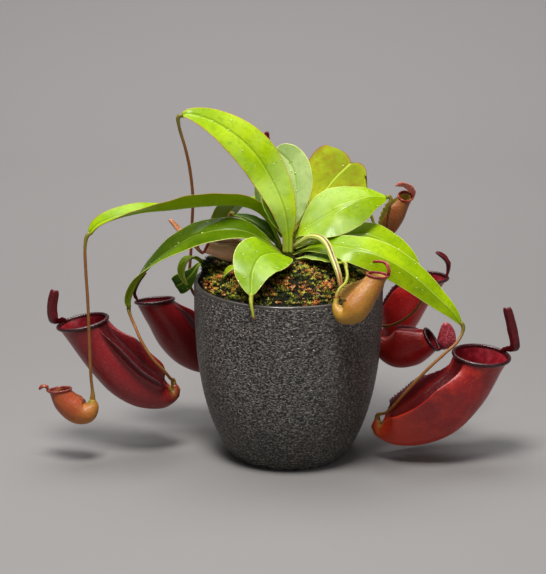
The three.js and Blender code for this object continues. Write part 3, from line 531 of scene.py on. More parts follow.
class Curve:
    """A centripetal Catmull-Rom line through points. Places go from 0 to 1 by its length."""

    DIVISIONS = 200
    NUDGE = 1e-4

    def __init__(self, points):
        self.points = np.array(points, float)
        self.even = np.linspace(0, 1, self.DIVISIONS + 1)
        steps = np.linalg.norm(np.diff(self.at(self.even), axis=0), axis=1)
        self.lengths = np.concatenate([[0], np.cumsum(steps)])
        self.length = self.lengths[-1]

    def at(self, t):
        """Points where t shares the stretches between the given points evenly."""
        points = self.points
        last = len(points) - 1
        place = np.asarray(t, float) * last
        i = np.minimum(place.astype(int), last - 1)
        w = (place - i)[:, None]
        ends = np.vstack([2 * points[0] - points[1], points, 2 * points[-1] - points[-2]])
        x0, x1, x2, x3 = (ends[i + k] for k in range(4))
        pairs = ((x0, x1), (x1, x2), (x2, x3))
        d0, d1, d2 = (np.linalg.norm(b - a, axis=1)[:, None] ** 0.5 for a, b in pairs)
        t1 = ((x1 - x0) / d0 - (x2 - x0) / (d0 + d1) + (x2 - x1) / d1) * d1
        t2 = ((x2 - x1) / d1 - (x3 - x1) / (d1 + d2) + (x3 - x2) / d2) * d1
        return (x1 + t1 * w + (-3 * x1 + 3 * x2 - 2 * t1 - t2) * w**2
                + (2 * x1 - 2 * x2 + t1 + t2) * w**3)

    def place(self, u):
        return np.interp(np.asarray(u, float) * self.length, self.lengths, self.even)

    def point(self, u):
        return self.at(self.place(u))

    def tangent(self, u):
        t = self.place(u)
        return unit(self.at(np.minimum(t + self.NUDGE, 1)) - self.at(np.maximum(t - self.NUDGE, 0)))


def link(name, data):
    """A new object in the scene."""
    made = bpy.data.objects.new(name, data)
    bpy.context.scene.collection.objects.link(made)
    return made


def smooth_mesh(name, corners, faces, materials):
    mesh = bpy.data.meshes.new(name)
    mesh.from_pydata(corners, [], faces)
    for material in materials:
        mesh.materials.append(material)
    mesh.polygons.foreach_set("use_smooth", [True] * len(faces))
    return mesh


class Body:
    """Corners and faces of one piece, in millimetres. Each corner has a spot for its material:
    three numbers, and a fourth that names its part."""

    def __init__(self):
        self.corners, self.faces, self.spots, self.slots = [], [], [], []
        self.count = 0

    def add(self, corners, faces, spots, slots=0):
        """Another closed form. slots is one material for all its faces, or one for each."""
        corners = np.asarray(corners, float).reshape(-1, 3)
        self.corners.append(corners)
        self.spots.append(np.broadcast_to(np.asarray(spots, float), (len(corners), 4)))
        self.faces += [[i + self.count for i in face] for face in faces]
        self.slots += np.broadcast_to(slots, len(faces)).tolist()
        self.count += len(corners)

    def piece(self, name, materials, slot, *nodes):
        """The Blender object, which stands for the named nodes of the CAD model."""
        corners = (np.concatenate(self.corners) * MM).tolist()
        mesh = smooth_mesh(name, corners, self.faces, materials)
        mesh.polygons.foreach_set("material_index", self.slots)
        spots = np.concatenate(self.spots).astype(np.float32)
        spot = mesh.attributes.new("spot", "FLOAT_VECTOR", "POINT")
        spot.data.foreach_set("vector", spots[:, :3].ravel())
        part = mesh.attributes.new("part", "FLOAT", "POINT")
        part.data.foreach_set("value", spots[:, 3].copy())
        shell = bmesh.new()
        shell.from_mesh(mesh)
        bmesh.ops.recalc_face_normals(shell, faces=shell.faces)
        shell.to_mesh(mesh)
        shell.free()
        piece = link(name, mesh)
        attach(piece, BODY)
        if nodes:
            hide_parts(*nodes)


def loop_faces(rows, across, joined=False):
    """Faces of a closed body made of rows of corners, each row a closed loop. Its two ends are
    capped, or joined to each other."""
    row = np.arange(rows if joined else rows - 1)[:, None]
    start, following = row * across, (row + 1) % rows * across
    here = np.arange(across)[None, :]
    after = (here + 1) % across
    quads = np.stack([start + here, start + after, following + after, following + here], -1)
    faces = quads.reshape(-1, 4).tolist()
    if not joined:
        faces += [list(range(across)), list(range((rows - 1) * across, rows * across))]
    return faces


def turns(sides):
    return np.linspace(0, TURN, sides, endpoint=False)


def circle(sides, radius=1.0):
    """Angles and corners of a level circle, or of several where radius is a column."""
    turn = turns(sides)
    x, y = radius * np.cos(turn), radius * np.sin(turn)
    return turn, np.stack([x, y, np.zeros_like(x)], -1)


def square_to(ways):
    """Two directions square to each of many."""
    helper = np.where(np.abs(ways[:, 2:3]) < 0.9, [[0.0, 0.0, 1.0]], [[1.0, 0.0, 0.0]])
    a = unit(np.cross(ways, helper))
    return a, np.cross(ways, a)


def add_spikes(body, bases, tips, radii, spots, bright_tips=False):
    """Thin closed pyramids on three sides, from bases to tips. The second number of a spot can
    be made 1 at the tip."""
    a, b = square_to(unit(tips - bases))
    radii = np.broadcast_to(radii, len(bases))[:, None]
    feet = [bases + (a * math.cos(k) + b * math.sin(k)) * radii for k in SPIKE_TURNS]
    corners = np.stack([*feet, tips], 1)
    marks = np.repeat(np.asarray(spots, float)[:, None], 4, 1)
    if bright_tips:
        marks[:, 3, 1] = 1
    shape = np.array([[0, 1, 3], [1, 2, 3], [2, 0, 3], [0, 2, 1]])
    faces = (np.arange(len(bases))[:, None, None] * 4 + shape).reshape(-1, 3).tolist()
    body.add(corners, faces, marks.reshape(-1, 4))


def add_tube(body, points, radii, sides, flute=None):
    """A tube along points. Its spots are the share of a turn, the share of its length and its radius."""
    ways = unit(np.gradient(points, axis=0))
    helper = square_to(ways[:1])[0][0]
    turn = turns(sides)
    rows = []
    for point, way, radius in zip(points, ways, radii):
        helper = unit(helper - way * (helper @ way))
        round_here = radius if flute is None else radius * flute(turn)
        rows.append(point + np.outer(np.cos(turn) * round_here, helper)
                    + np.outer(np.sin(turn) * round_here, np.cross(way, helper)))
    spots = np.zeros((len(points), sides, 4))
    spots[..., 0] = turn / TURN
    spots[..., 1] = np.linspace(0, 1, len(points))[:, None]
    spots[..., 2] = np.asarray(radii)[:, None]
    body.add(rows, loop_faces(len(points), sides), spots.reshape(-1, 4))


def add_crumb(body, centre, size, rng):
    """A rough pebble."""
    turn = turns(CRUMB_SIDES) + rng.uniform(0, 6)
    rows = []
    for height in CRUMB_ROWS:
        wide = math.sqrt(1 - height * height) * rng.uniform(0.75, 1.15, CRUMB_SIDES)
        level = np.full(CRUMB_SIDES, height * CRUMB_SQUASH) + rng.uniform(-0.1, 0.1, CRUMB_SIDES)
        rows.append(np.stack([np.cos(turn) * wide, np.sin(turn) * wide, level], -1))
    body.add(np.array(rows) * size + centre, loop_faces(len(rows), CRUMB_SIDES), (0, 0, 0, 0))


def add_drops(body, tops, normals, rng, number):
    """Drops of water: low domes on a surface, at random places of a grid of its points."""
    rows, across = tops.shape[:2]
    turn = turns(DROP_SIDES)
    for _ in range(number):
        i = rng.integers(*(int(rows * share) for share in DROP_ROWS))
        j = rng.integers(2, across - 2)
        way = normals[i, j][None]
        a, b = square_to(way)
        radius = rng.uniform(*DROP_RADIUS) * rng.uniform(0.6, 1)
        loops = [tops[i, j] + radius * (share * (np.cos(turn)[:, None] * a + np.sin(turn)[:, None] * b)
                                        + up * way) for share, up in DROP_PROFILE]
        body.add(loops, loop_faces(len(loops), DROP_SIDES), (0, 0.5, 5, 0), 1)


def blade_frames(curve, roll, t):
    """Points of a blade's path with the directions forward, out of its upper face, and across it."""
    points, forward = curve.point(t), curve.tangent(t)
    outward = points[-1] - points[0]
    outward[2] = 0
    face = np.array([0.0, 0.0, 1.0]) - unit(outward)
    faces = []
    for way in forward:
        face = unit(face - way * (face @ way))
        faces.append(face)
    turn = np.radians(sample_list(roll, t))[:, None]
    rolled = np.array(faces) * np.cos(turn) + np.cross(forward, faces) * np.sin(turn)
    return points, forward, rolled, np.cross(forward, rolled)


def half_width(blade, t):
    """Half width of a blade, with a stalk, a belly and a tip as wide as its tendril."""
    root = blade["root_width"]
    u = np.clip((t - blade["stalk"]) / (1 - blade["stalk"]), 0, 1)
    belly = np.clip(np.sin(np.pi * u ** blade["skew"]), 0, 1) ** blade["full"]
    return root + (blade["tip"] - root) * u + (blade["half"] - root) * belly


def hump(distance, width):
    return np.exp(-((distance / width) ** 2))


def add_blade(body, curve, blade, rng, slot=0, wave=MARGIN_WAVE):
    """A folded blade with a grooved midrib above, a rib below and thin waved margins.
    Its spots are the distance from the midrib, the share of the length, and the distance
    from the margin. The part is 1 on the lower face. Gives the upper face and its normals."""
    t = np.linspace(0, 1, max(FEWEST_STATIONS, round(curve.length / STATION)) + 1)
    points, forward, face, side = blade_frames(curve, blade["roll"], t)
    width = half_width(blade, t)[:, None]
    fold = np.radians(sample_list(blade["fold"], t))[:, None]
    angle = fold * np.tanh(COLUMNS / FOLD_SHARE) + math.radians(blade["cup"]) * COLUMNS
    middle = (angle[:, 1:] + angle[:, :-1]) / 2
    step = np.diff(COLUMNS) * width
    nought = np.zeros((len(t), 1))
    across = np.hstack([nought, np.cumsum(np.cos(middle) * step, 1)])
    raised = np.hstack([nought, np.cumsum(np.sin(middle) * step, 1)])
    reach = COLUMNS * width
    thick = (BLADE_THICKNESS + (MARGIN_THICKNESS - BLADE_THICKNESS) * smoothstep(COLUMNS, MARGIN_START, 1)
             + RIB_DEPTH * blade["slim"] * hump(reach, RIB_HALF_WIDTH))
    groove = GROOVE_DEPTH * blade["slim"] * hump(reach, GROOVE_HALF_WIDTH)
    lobe_shape = np.sin(np.pi * COLUMNS**0.75) - 0.3 * COLUMNS**4
    halves = []
    for sign, lobe in zip((-1, 1), blade["lobes"]):
        ahead = lobe * smoothstep(t, LOBE_START, 1)[:, None] * lobe_shape
        rounds = rng.uniform(*WAVES)
        ripple = np.sin(TURN * (rounds * t + rng.uniform()))
        ripple += 0.5 * np.sin(TURN * (FINE_WAVES * rounds * t + rng.uniform()))
        lift = wave * (ripple * np.sin(np.pi * t))[:, None] * COLUMNS**2.5
        normal = face[:, None] * np.cos(angle)[..., None] - side[:, None] * np.sin(angle)[..., None] * sign
        top = (points[:, None] + side[:, None] * across[..., None] * sign
               + face[:, None] * (raised + lift)[..., None] + forward[:, None] * ahead[..., None])
        top = top - normal * groove[..., None]
        low = top - normal * (thick - groove)[..., None]
        out = side * np.cos(angle[:, -1:]) * sign + face * np.sin(angle[:, -1:])
        edge = (top[:, -1] + low[:, -1]) / 2 + out * MARGIN_THICKNESS * 0.4
        marks = np.stack([reach * sign, np.broadcast_to(t[:, None], reach.shape), width - reach], -1)
        halves.append((top, low, normal, edge, marks))
    (top_l, low_l, normal_l, edge_l, marks_l), (top_r, low_r, normal_r, edge_r, marks_r) = halves
    top = np.concatenate([top_l[:, :0:-1], top_r], 1)
    marks = np.concatenate([marks_l[:, :0:-1], marks_r], 1)
    low = np.concatenate([low_r[:, ::-1], low_l[:, 1:]], 1)
    rows = np.concatenate([edge_l[:, None], top, edge_r[:, None], low], 1)
    spots = np.zeros((*rows.shape[:2], 4))
    upper = top.shape[1]
    spots[:, :, :3] = np.concatenate([marks[:, :1], marks, marks[:, -1:], marks[:, ::-1]], 1)
    spots[:, upper + 2:, 3] = 1
    body.add(rows, loop_faces(len(t), rows.shape[1]), spots.reshape(-1, 4), slot)
    return top, np.concatenate([normal_l[:, :0:-1], normal_r], 1)


def stem_radius(z):
    return STEM_FOOT_RADIUS + (z - MOUND_TOP) * (STEM_TIP_RADIUS - STEM_FOOT_RADIUS) / (STEM_TOP - MOUND_TOP)


def leaf_curve(leaf):
    """The path of a leaf, from its foot in the moss or its root on the stem."""
    if "foot" in leaf:
        return Curve([leaf["foot"], *leaf["path"]])
    azimuth, height = math.radians(leaf["root"][0]), leaf["root"][1]
    reach = stem_radius(height) + ROOT_GAP + leaf["seat"]
    return Curve([(reach * math.cos(azimuth), reach * math.sin(azimuth), height), *leaf["path"]])


def rgb(r, g, b):
    """Linear colour from the values of a screen colour."""
    return tuple((v / 255 / 12.92) if v <= 10 else ((v / 255 + 0.055) / 1.055) ** 2.4 for v in (r, g, b))


class Paint:
    """A node material in the making. Lengths of its patterns are in millimetres."""

    def __init__(self, name):
        self.material = bpy.data.materials.new(name)
        self.material.use_nodes = True
        self.tree = self.material.node_tree
        self.tree.nodes.clear()
        self.place = self.node("TexCoord").outputs["Object"]
        spot = self.node("Attribute", attribute_name="spot").outputs["Vector"]
        self.spot = self.node("SeparateXYZ", {0: spot}).outputs
        self.part = self.node("Attribute", attribute_name="part").outputs["Fac"]

    def node(self, kind, inputs=None, **settings):
        made = self.tree.nodes.new("ShaderNode" + kind)
        for key, value in settings.items():
            setattr(made, key, value)
        for key, value in (inputs or {}).items():
            self.feed(made.inputs[key], value)
        return made

    def feed(self, socket, value):
        if isinstance(value, bpy.types.NodeSocket):
            self.tree.links.new(value, socket)
        elif socket.type == "RGBA":
            socket.default_value = (*value, 1)
        else:
            socket.default_value = value

    def maths(self, operation, a, b=0.0, c=0.0):
        return self.node("Math", {0: a, 1: b, 2: c}, operation=operation).outputs[0]

    def times(self, a, b):
        return self.maths("MULTIPLY", a, b)

    def rise(self, value, low, high, to=1.0):
        """0 below low and to above high, smoothly between."""
        inputs = {"Value": value, "From Min": low, "From Max": high, "To Max": to}
        return self.node("MapRange", inputs, interpolation_type="SMOOTHSTEP").outputs["Result"]

    def fall(self, value, low, high, to=1.0):
        """to below low and 0 above high, smoothly between."""
        inputs = {"Value": value, "From Min": low, "From Max": high, "To Min": to, "To Max": 0.0}
        return self.node("MapRange", inputs, interpolation_type="SMOOTHSTEP").outputs["Result"]

    def noise(self, size, detail=2.0, warp=0.0, vector=None):
        inputs = {"Vector": vector or self.place, "Scale": 1 / (size * MM), "Detail": detail,
                  "Distortion": warp}
        return self.node("TexNoise", inputs).outputs["Fac"]

    def dots(self, size, radius, share):
        """1 in round dots, one in each cell of a size for the given share of the cells."""
        cells = self.node("TexVoronoi", {"Vector": self.place, "Scale": 1 / (size * MM)})
        near = self.fall(cells.outputs["Distance"], radius / size * 0.5, radius / size)
        pick = self.node("SeparateColor", {0: cells.outputs["Color"]}).outputs[0]
        return self.times(near, self.maths("LESS_THAN", pick, share))

    def mix(self, share, a, b):
        return self.node("Mix", {0: share, 6: a, 7: b}, data_type="RGBA").outputs[2]

    def patches(self, size, low, high, share, a, b, detail=3):
        """Colour a with soft patches of b, up to a share, where noise of a size passes low to high."""
        return self.mix(self.rise(self.noise(size, detail), low, high, share), a, b)

    def along(self, value, *stops):
        """Colours along a value, from pairs of place and colour."""
        ramp = self.node("ValToRGB", {0: value})
        elements = ramp.color_ramp.elements
        while len(elements) < len(stops):
            elements.new(1)
        for element, (place, colour) in zip(elements, stops):
            element.position = place
            element.color = (*colour, 1)
        return ramp.outputs[0]

    def bump(self, height, depth, normal=None):
        inputs = {"Height": height, "Distance": depth * MM, "Strength": 1.0}
        if normal is not None:
            inputs["Normal"] = normal
        return self.node("Bump", inputs).outputs["Normal"]

    def finish(self, colour, roughness, normal=None, through=None, ior=1.45, coat=None, specular=None):
        """The shader. through is the share of light that comes through a thin blade, and its colour,
        and coat the weight and roughness of a clear coat."""
        inputs = {"Base Color": colour, "Roughness": roughness, "IOR": ior}
        if normal is not None:
            inputs["Normal"] = normal
        if coat:
            inputs["Coat Weight"], inputs["Coat Roughness"] = coat
        if specular is not None:
            inputs["Specular IOR Level"] = specular
        shader = self.node("BsdfPrincipled", inputs).outputs[0]
        if through:
            share, tint = through
            glow = self.node("BsdfTranslucent", {"Color": tint}).outputs[0]
            shader = self.node("MixShader", {0: share, 1: shader, 2: glow}).outputs[0]
        output = self.node("OutputMaterial")
        self.tree.links.new(shader, output.inputs["Surface"])
        return self.material


def leaf_paint(name, light, deep, margin, tip, below=rgb(140, 170, 50), shine=0.4, through=0.2, blush=0.0,
               coat=0.3, rib=0.24, sheen=None):
    """A glossy leaf: mottled green, a soft pale midrib with a dark line of painted shade along one side
    of its groove, thin margins in their own colour, which where pale yellow are also a painted highlight
    on the lit edge, fine veins and pale specks. below is the colour of its lower face, blush how far
    the tip's colour spreads over it, rib how strongly the midrib shows. sheen says where along the
    leaf a painted sheen, a pale mint reflection, starts and is full, and how strong it is."""
    p = Paint(name)
    offset, along, inset = p.spot[0], p.spot[1], p.spot[2]
    away = p.maths("ABSOLUTE", offset)
    colour = p.patches(30, 0.3, 0.75, 0.75, light, deep)
    colour = p.patches(3.2, 0.45, 0.75, 0.5, colour, deep)
    if blush:
        colour = p.patches(6, 0.4, 0.7, blush, colour, tip)
        colour = p.mix(p.fall(inset, 0.0, 5.0, blush), colour, tip)
    # painted sheen: a pale mint reflection laid over part of the blade
    if sheen:
        sheen_band = p.times(p.rise(along, *sheen), p.rise(p.noise(26, 2), 0.3, 0.6))
        colour = p.mix(sheen_band, colour, rgb(190, 218, 134))
    veins = p.maths("SINE", p.times(away, 3.4))
    colour = p.mix(p.rise(veins, 0.86, 1.0, 0.14), colour, light)
    colour = p.mix(p.fall(along, 0.0, 0.16, 0.5), colour, rgb(205, 222, 70))
    colour = p.mix(p.fall(away, 0.3, 1.1, rib), colour, rgb(206, 226, 80))
    # painted shade: a dark line along one side of the midrib groove
    shade = p.fall(p.maths("ABSOLUTE", p.maths("SUBTRACT", offset, 1.0)), 0.1, 0.8, 0.6)
    colour = p.mix(shade, colour, deep)
    # a thin band in the margin's colour along the edge; the fresh pale yellow one is also a painted highlight
    # on the lit edge
    colour = p.mix(p.fall(inset, 0.1, 0.5, 0.85), colour, margin)
    colour = p.mix(p.rise(along, 0.985, 1.0, 0.9), colour, tip)
    colour = p.mix(p.dots(4.2, 0.36, 0.32), colour, rgb(240, 246, 214))
    colour = p.mix(p.dots(9, 0.35, 0.2), colour, rgb(70, 80, 20))
    colour = p.mix(p.part, colour, p.mix(0.5, colour, below))
    grain = p.maths("ADD", p.times(p.noise(1.1, 3), 0.5), p.times(veins, 0.14))
    normal = p.bump(grain, 0.12, p.bump(p.noise(9, 2), 0.5))
    rough = p.maths("MULTIPLY_ADD", p.rise(p.noise(6, 2), 0.3, 0.7), 0.14, shine)
    return p.finish(colour, rough, normal, (through, p.mix(0.5, colour, light)), 1.42, (coat, 0.2), 0.12)


def drop_paint(name, colour):
    """Water on a leaf: the leaf's own green with soft pale patches of painted highlight, under a wet, glossy
    coat.
    """
    p = Paint(name)
    # painted highlight: soft pale patches on each drop
    skin = p.patches(0.8, 0.4, 0.6, 0.5, colour, rgb(235, 245, 190), 1)
    return p.finish(skin, 0.03, ior=1.4, coat=(1.0, 0.02))


def tendril_paint(name, start, middle, end):
    """A woody tendril, green near the leaf and brown further on, with fine lines along it."""
    p = Paint(name)
    turn, along = p.spot[0], p.spot[1]
    colour = p.along(along, (0, start), (0.03, start), (0.14, middle), (0.84, middle), (1, end))
    colour = p.patches(2.5, 0.45, 0.75, 0.45, colour, rgb(96, 50, 22))
    lines = p.maths("SINE", p.times(turn, 7 * TURN))
    colour = p.mix(p.rise(lines, 0.2, 1, 0.22), colour, rgb(205, 150, 90))
    height = p.maths("MULTIPLY_ADD", lines, 0.3, p.noise(0.9, 3))
    return p.finish(colour, 0.42, p.bump(height, 0.1))


def pitcher_paint(name, low, high, foot=rgb(142, 130, 40), wing=rgb(80, 12, 20), groove=rgb(58, 6, 12),
                  speck=(0.7, 0.3, 0.26), wing_sheen=(0.3, 0.16, 0.2), rough=0.36, coat=0.22, mottle=0.25):
    """A pitcher's skin: a gradient from its foot to its mouth, warmer on its belly, with a fine
    grain, a dark channel at its front, darker wings, and patches of painted sheen along the upper part of the
    thin wings."""
    p = Paint(name)
    turn, along, fin = p.spot[0], p.spot[1], p.spot[2]
    round_back = p.maths("ABSOLUTE", turn)
    colour = p.along(along, (0, foot), (0.03, foot), (0.1, low), (0.5, high), (1, high))
    belly = p.times(p.rise(round_back, 0.3, 0.9), p.fall(along, 0.3, 0.85, 0.85))
    colour = p.mix(belly, colour, low)
    colour = p.patches(9, 0.42, 0.72, 0.4, colour, low)
    colour = p.patches(1.3, 0.5, 0.72, mottle, colour, wing, 4)
    colour = p.patches(0.7, 0.6, 0.75, 1.2 * mottle, colour, speck, 2)
    front = p.times(p.fall(round_back, 0.078, 0.1), p.rise(along, 0.07, 0.16, 0.85))
    colour = p.mix(front, colour, groove)
    teeth = p.times(p.dots(1.9, 0.32, 0.5), p.times(front, 0.4))
    colour = p.mix(teeth, colour, rgb(190, 120, 116))
    colour = p.mix(p.rise(fin, 0.04, 0.4), colour, wing)
    # painted sheen: patches in the wing_sheen colour along the upper part of the thin wings
    colour = p.mix(p.times(p.noise(3, 2), p.rise(fin, 0.6, 0.9, 0.6)), colour, wing_sheen)
    height = p.maths("MULTIPLY_ADD", p.noise(0.55, 2), 0.5, p.noise(2.4, 3))
    return p.finish(colour, rough, p.bump(height, 0.36), ior=1.46, coat=(coat, 0.3))


def lip_paint(name, colour, light):
    """The collar round a mouth: hard, ribbed and glossy."""
    p = Paint(name)
    ribs = p.maths("SINE", p.times(p.spot[0], math.pi * 90))
    tone = p.patches(3, 0.45, 0.7, 0.6, colour, light, 2)
    return p.finish(tone, 0.26, p.bump(ribs, 0.05), coat=(0.3, 0.12))


def inner_paint(name, colour, light):
    """The inside of a pitcher, waxy, in soft patches of a darker and a paler tone."""
    p = Paint(name)
    tone = p.patches(4, 0.4, 0.7, 0.7, colour, light)
    return p.finish(tone, 0.35, p.bump(p.noise(1.2, 2), 0.1), ior=1.5, coat=(0.3, 0.2))


def lid_paint(name, colour, light):
    """A lid: grainy with small glands."""
    p = Paint(name)
    tone = p.patches(1.1, 0.42, 0.65, 1.0, colour, light)
    tone = p.mix(p.fall(p.spot[2], 0.1, 0.5, 0.6), tone, colour)
    tone = p.mix(p.dots(1.6, 0.3, 0.5), tone, colour)
    return p.finish(tone, 0.4, p.bump(p.noise(0.9, 3), 0.3))


def pot_paint():
    """Dark grey composite: fine wrinkles all over whose ridges are coloured pale as painted highlight, pale
    dots of painted glints, and a smooth glossy rim.
    """
    p = Paint("pot_composite")
    flat = p.node("Mapping", {"Vector": p.place, "Scale": (0.8, 0.8, 1.35)}).outputs[0]
    ridge_and_highlight = p.rise(p.noise(1.45, 1.6, 0.5, flat), 0.4, 0.76)
    # painted highlight: the ridges of the wrinkles are coloured pale
    colour = p.mix(ridge_and_highlight, rgb(34, 32, 30), rgb(158, 151, 142))
    # painted glints: a share of small pale dots
    colour = p.mix(p.dots(2.2, 0.45, 0.3), colour, rgb(236, 227, 212))
    colour = p.mix(p.dots(9, 0.5, 0.12), colour, rgb(170, 104, 62))
    colour = p.mix(p.part, colour, rgb(66, 62, 59))
    height = p.maths("MULTIPLY_ADD", p.noise(0.6, 2), 0.3, ridge_and_highlight)
    bumpy = p.times(height, p.maths("SUBTRACT", 1.0, p.part))
    rough = p.maths("MULTIPLY_ADD", p.part, -0.16, 0.34)
    return p.finish(colour, rough, p.bump(bumpy, 1.6), ior=1.5)


def moss_paint():
    """Moss: each tuft takes a colour of its own; each sprig darkens to near black at its foot, painted shade
    down among the sprigs, and shows its colour at its tip.
    """
    p = Paint("moss_mixed")
    pick, tip, wet = p.spot[0], p.spot[1], p.spot[2]
    colour = p.along(pick, (0, rgb(16, 20, 6)), (0.25, rgb(44, 54, 12)), (0.45, rgb(96, 110, 16)),
                     (0.62, rgb(220, 214, 84)), (0.68, rgb(104, 52, 16)), (0.86, rgb(226, 134, 56)),
                     (1, rgb(236, 206, 150)))
    # painted shade: each sprig darkens to near black at its foot
    colour = p.mix(p.rise(tip, 0.0, 0.8), rgb(7, 6, 3), colour)
    return p.finish(colour, p.fall(wet, 0, 1, 0.8), ior=1.4, specular=0.2)


def soil_paint():
    """Dark damp growing mix with brown crumbs and pale fibres."""
    p = Paint("soil_mix")
    colour = p.patches(2.5, 0.4, 0.7, 1.0, rgb(22, 15, 10), rgb(74, 50, 32), 4)
    colour = p.mix(p.dots(4, 0.4, 0.2), colour, rgb(150, 120, 90))
    return p.finish(colour, 0.8, p.bump(p.noise(1.2, 4), 0.8), ior=1.4)


def stem_paint():
    """The stem, yellow-green with brown scars."""
    p = Paint("stem_green")
    colour = p.patches(5, 0.4, 0.7, 1.0, rgb(178, 196, 52), rgb(110, 130, 30))
    colour = p.patches(2, 0.62, 0.75, 0.8, colour, rgb(110, 70, 36))
    return p.finish(colour, 0.4, p.bump(p.noise(1.5, 3), 0.2))


def rolled_paint():
    """The rolled young leaf: yellow-green with lengthwise stripes, a red-brown seam and a brown tip."""
    p = Paint("rolled_leaf_stripes")
    turn, along = p.spot[0], p.spot[1]
    stripes = p.maths("SINE", p.times(turn, 9 * TURN))
    colour = p.mix(p.rise(stripes, -0.4, 1, 0.5), rgb(176, 184, 74), rgb(224, 226, 150))
    half_turn = p.maths("FRACT", p.times(turn, 2.0))
    seam = p.fall(p.maths("ABSOLUTE", p.maths("SUBTRACT", half_turn, 2 * ROLL_SEAM)), 0.06, 0.12)
    colour = p.mix(seam, colour, rgb(104, 52, 36))
    colour = p.patches(4, 0.55, 0.75, 0.35, colour, rgb(160, 130, 70))
    colour = p.mix(p.rise(along, 0.68, 0.97, 0.9), colour, rgb(150, 76, 46))
    height = p.maths("MULTIPLY_ADD", stripes, 0.4, p.noise(1.4, 2))
    return p.finish(colour, 0.3, p.bump(height, 0.15), ior=1.47, coat=(0.3, 0.15))


def pot_radius(z):
    bulge = (1 - ((POT_HEIGHT - z) / POT_HEIGHT) ** POT_SHOULDER) ** (1 / POT_ROUNDNESS)
    return POT_BASE_RADIUS + (POT_RADIUS - POT_BASE_RADIUS) * bulge


def build_pot():
    """The pot: its wrinkled outside, a rounded rim, a smooth inside and a flat base. Its profile
    gives the radius, the height, and 1 where the face is smooth."""
    outside = np.linspace(POT_ROWS_START, POT_HEIGHT - POT_RIM_ROUND, POT_ROWS)
    outside = np.concatenate([POT_FOOT_ROWS, outside])
    profile = [(POT_BASE_RADIUS * share, 0, 1) for share in POT_BASE_SHARES]
    profile.append((POT_BASE_RADIUS - POT_BASE_EDGE, 0, 1))
    smooth_rim = smoothstep(outside, POT_HEIGHT - POT_WRINKLE_END, POT_HEIGHT - POT_SMOOTH_RIM)
    profile += zip(pot_radius(outside), outside, smooth_rim)
    for middle, start in ((POT_RADIUS - POT_RIM_ROUND, 0), (POT_RADIUS - POT_WALL + POT_RIM_ROUND, 90)):
        for angle in np.radians(np.linspace(start + 10, start + 80, POT_RIM_ROWS)):
            height = POT_HEIGHT - POT_RIM_ROUND + POT_RIM_ROUND * math.sin(angle)
            profile.append((middle + POT_RIM_ROUND * math.cos(angle), height, 1))
    inside = np.linspace(POT_HEIGHT - 3, POT_FLOOR + 3, POT_INNER_ROWS)
    profile += [(pot_radius(z) - POT_WALL, z, 1) for z in inside]
    profile += [(POT_BASE_RADIUS - POT_WALL, POT_FLOOR, 1), (1, POT_FLOOR, 1)]
    r, z, smooth = np.array(profile).T
    rows = circle(POT_SIDES, r[:, None])[1]
    rows[..., 2] = z[:, None]
    outward = circle(POT_SIDES)[1]
    for i in np.where((smooth < 0.99) & (z > 0.1))[0]:
        crease = relief(rows[i] * POT_WRINKLE_SHAPE, POT_WRINKLE_SIZE)
        rows[i] += outward * (POT_WRINKLE * crease * (1 - smooth[i]))[:, None]
    spots = np.zeros((len(z), POT_SIDES, 4))
    spots[..., 1] = z[:, None] / POT_HEIGHT
    spots[..., 3] = smooth[:, None]
    body = Body()
    body.add(rows, loop_faces(len(z), POT_SIDES), spots.reshape(-1, 4))
    body.piece("pot_shell", [pot_paint()], "pot", "pot")


def mound_height(r):
    return MOUND_TOP - MOUND_FALL * (np.minimum(r, MOSS_RADIUS) / MOSS_RADIUS) ** MOUND_POWER


def add_mound(body, radii):
    """The uneven dark mound under the tufts, closed below. Gives the heights of its top."""
    turn, top = circle(MOSS_SIDES, radii[:, None])
    lumps = relief(top.reshape(-1, 3), MOSS_LUMP_SIZE, 3).reshape(top.shape[:2])
    calm = smoothstep(radii, HOLE_RADIUS, CROWN_RADIUS)
    calm = calm * (1 - smoothstep(radii, MOSS_RADIUS - 3, MOSS_RADIUS))
    bank = hump(turn - math.radians(BANK_ANGLE), math.radians(BANK_SPREAD))
    bank = bank * smoothstep(radii, *BANK_RADII)[:, None]
    under = top[::-UNDER_STEP].copy()
    level = mound_height(radii)
    under[..., 2] = level[::-UNDER_STEP, None] - MOSS_THICKNESS
    top[..., 2] = level[:, None] + (MOSS_LUMP * lumps + BANK_HEIGHT * bank) * calm[:, None]
    rows = np.concatenate([top, under])
    body.add(rows, loop_faces(len(rows), MOSS_SIDES, joined=True), MOUND_SPOT)
    return top[..., 2]


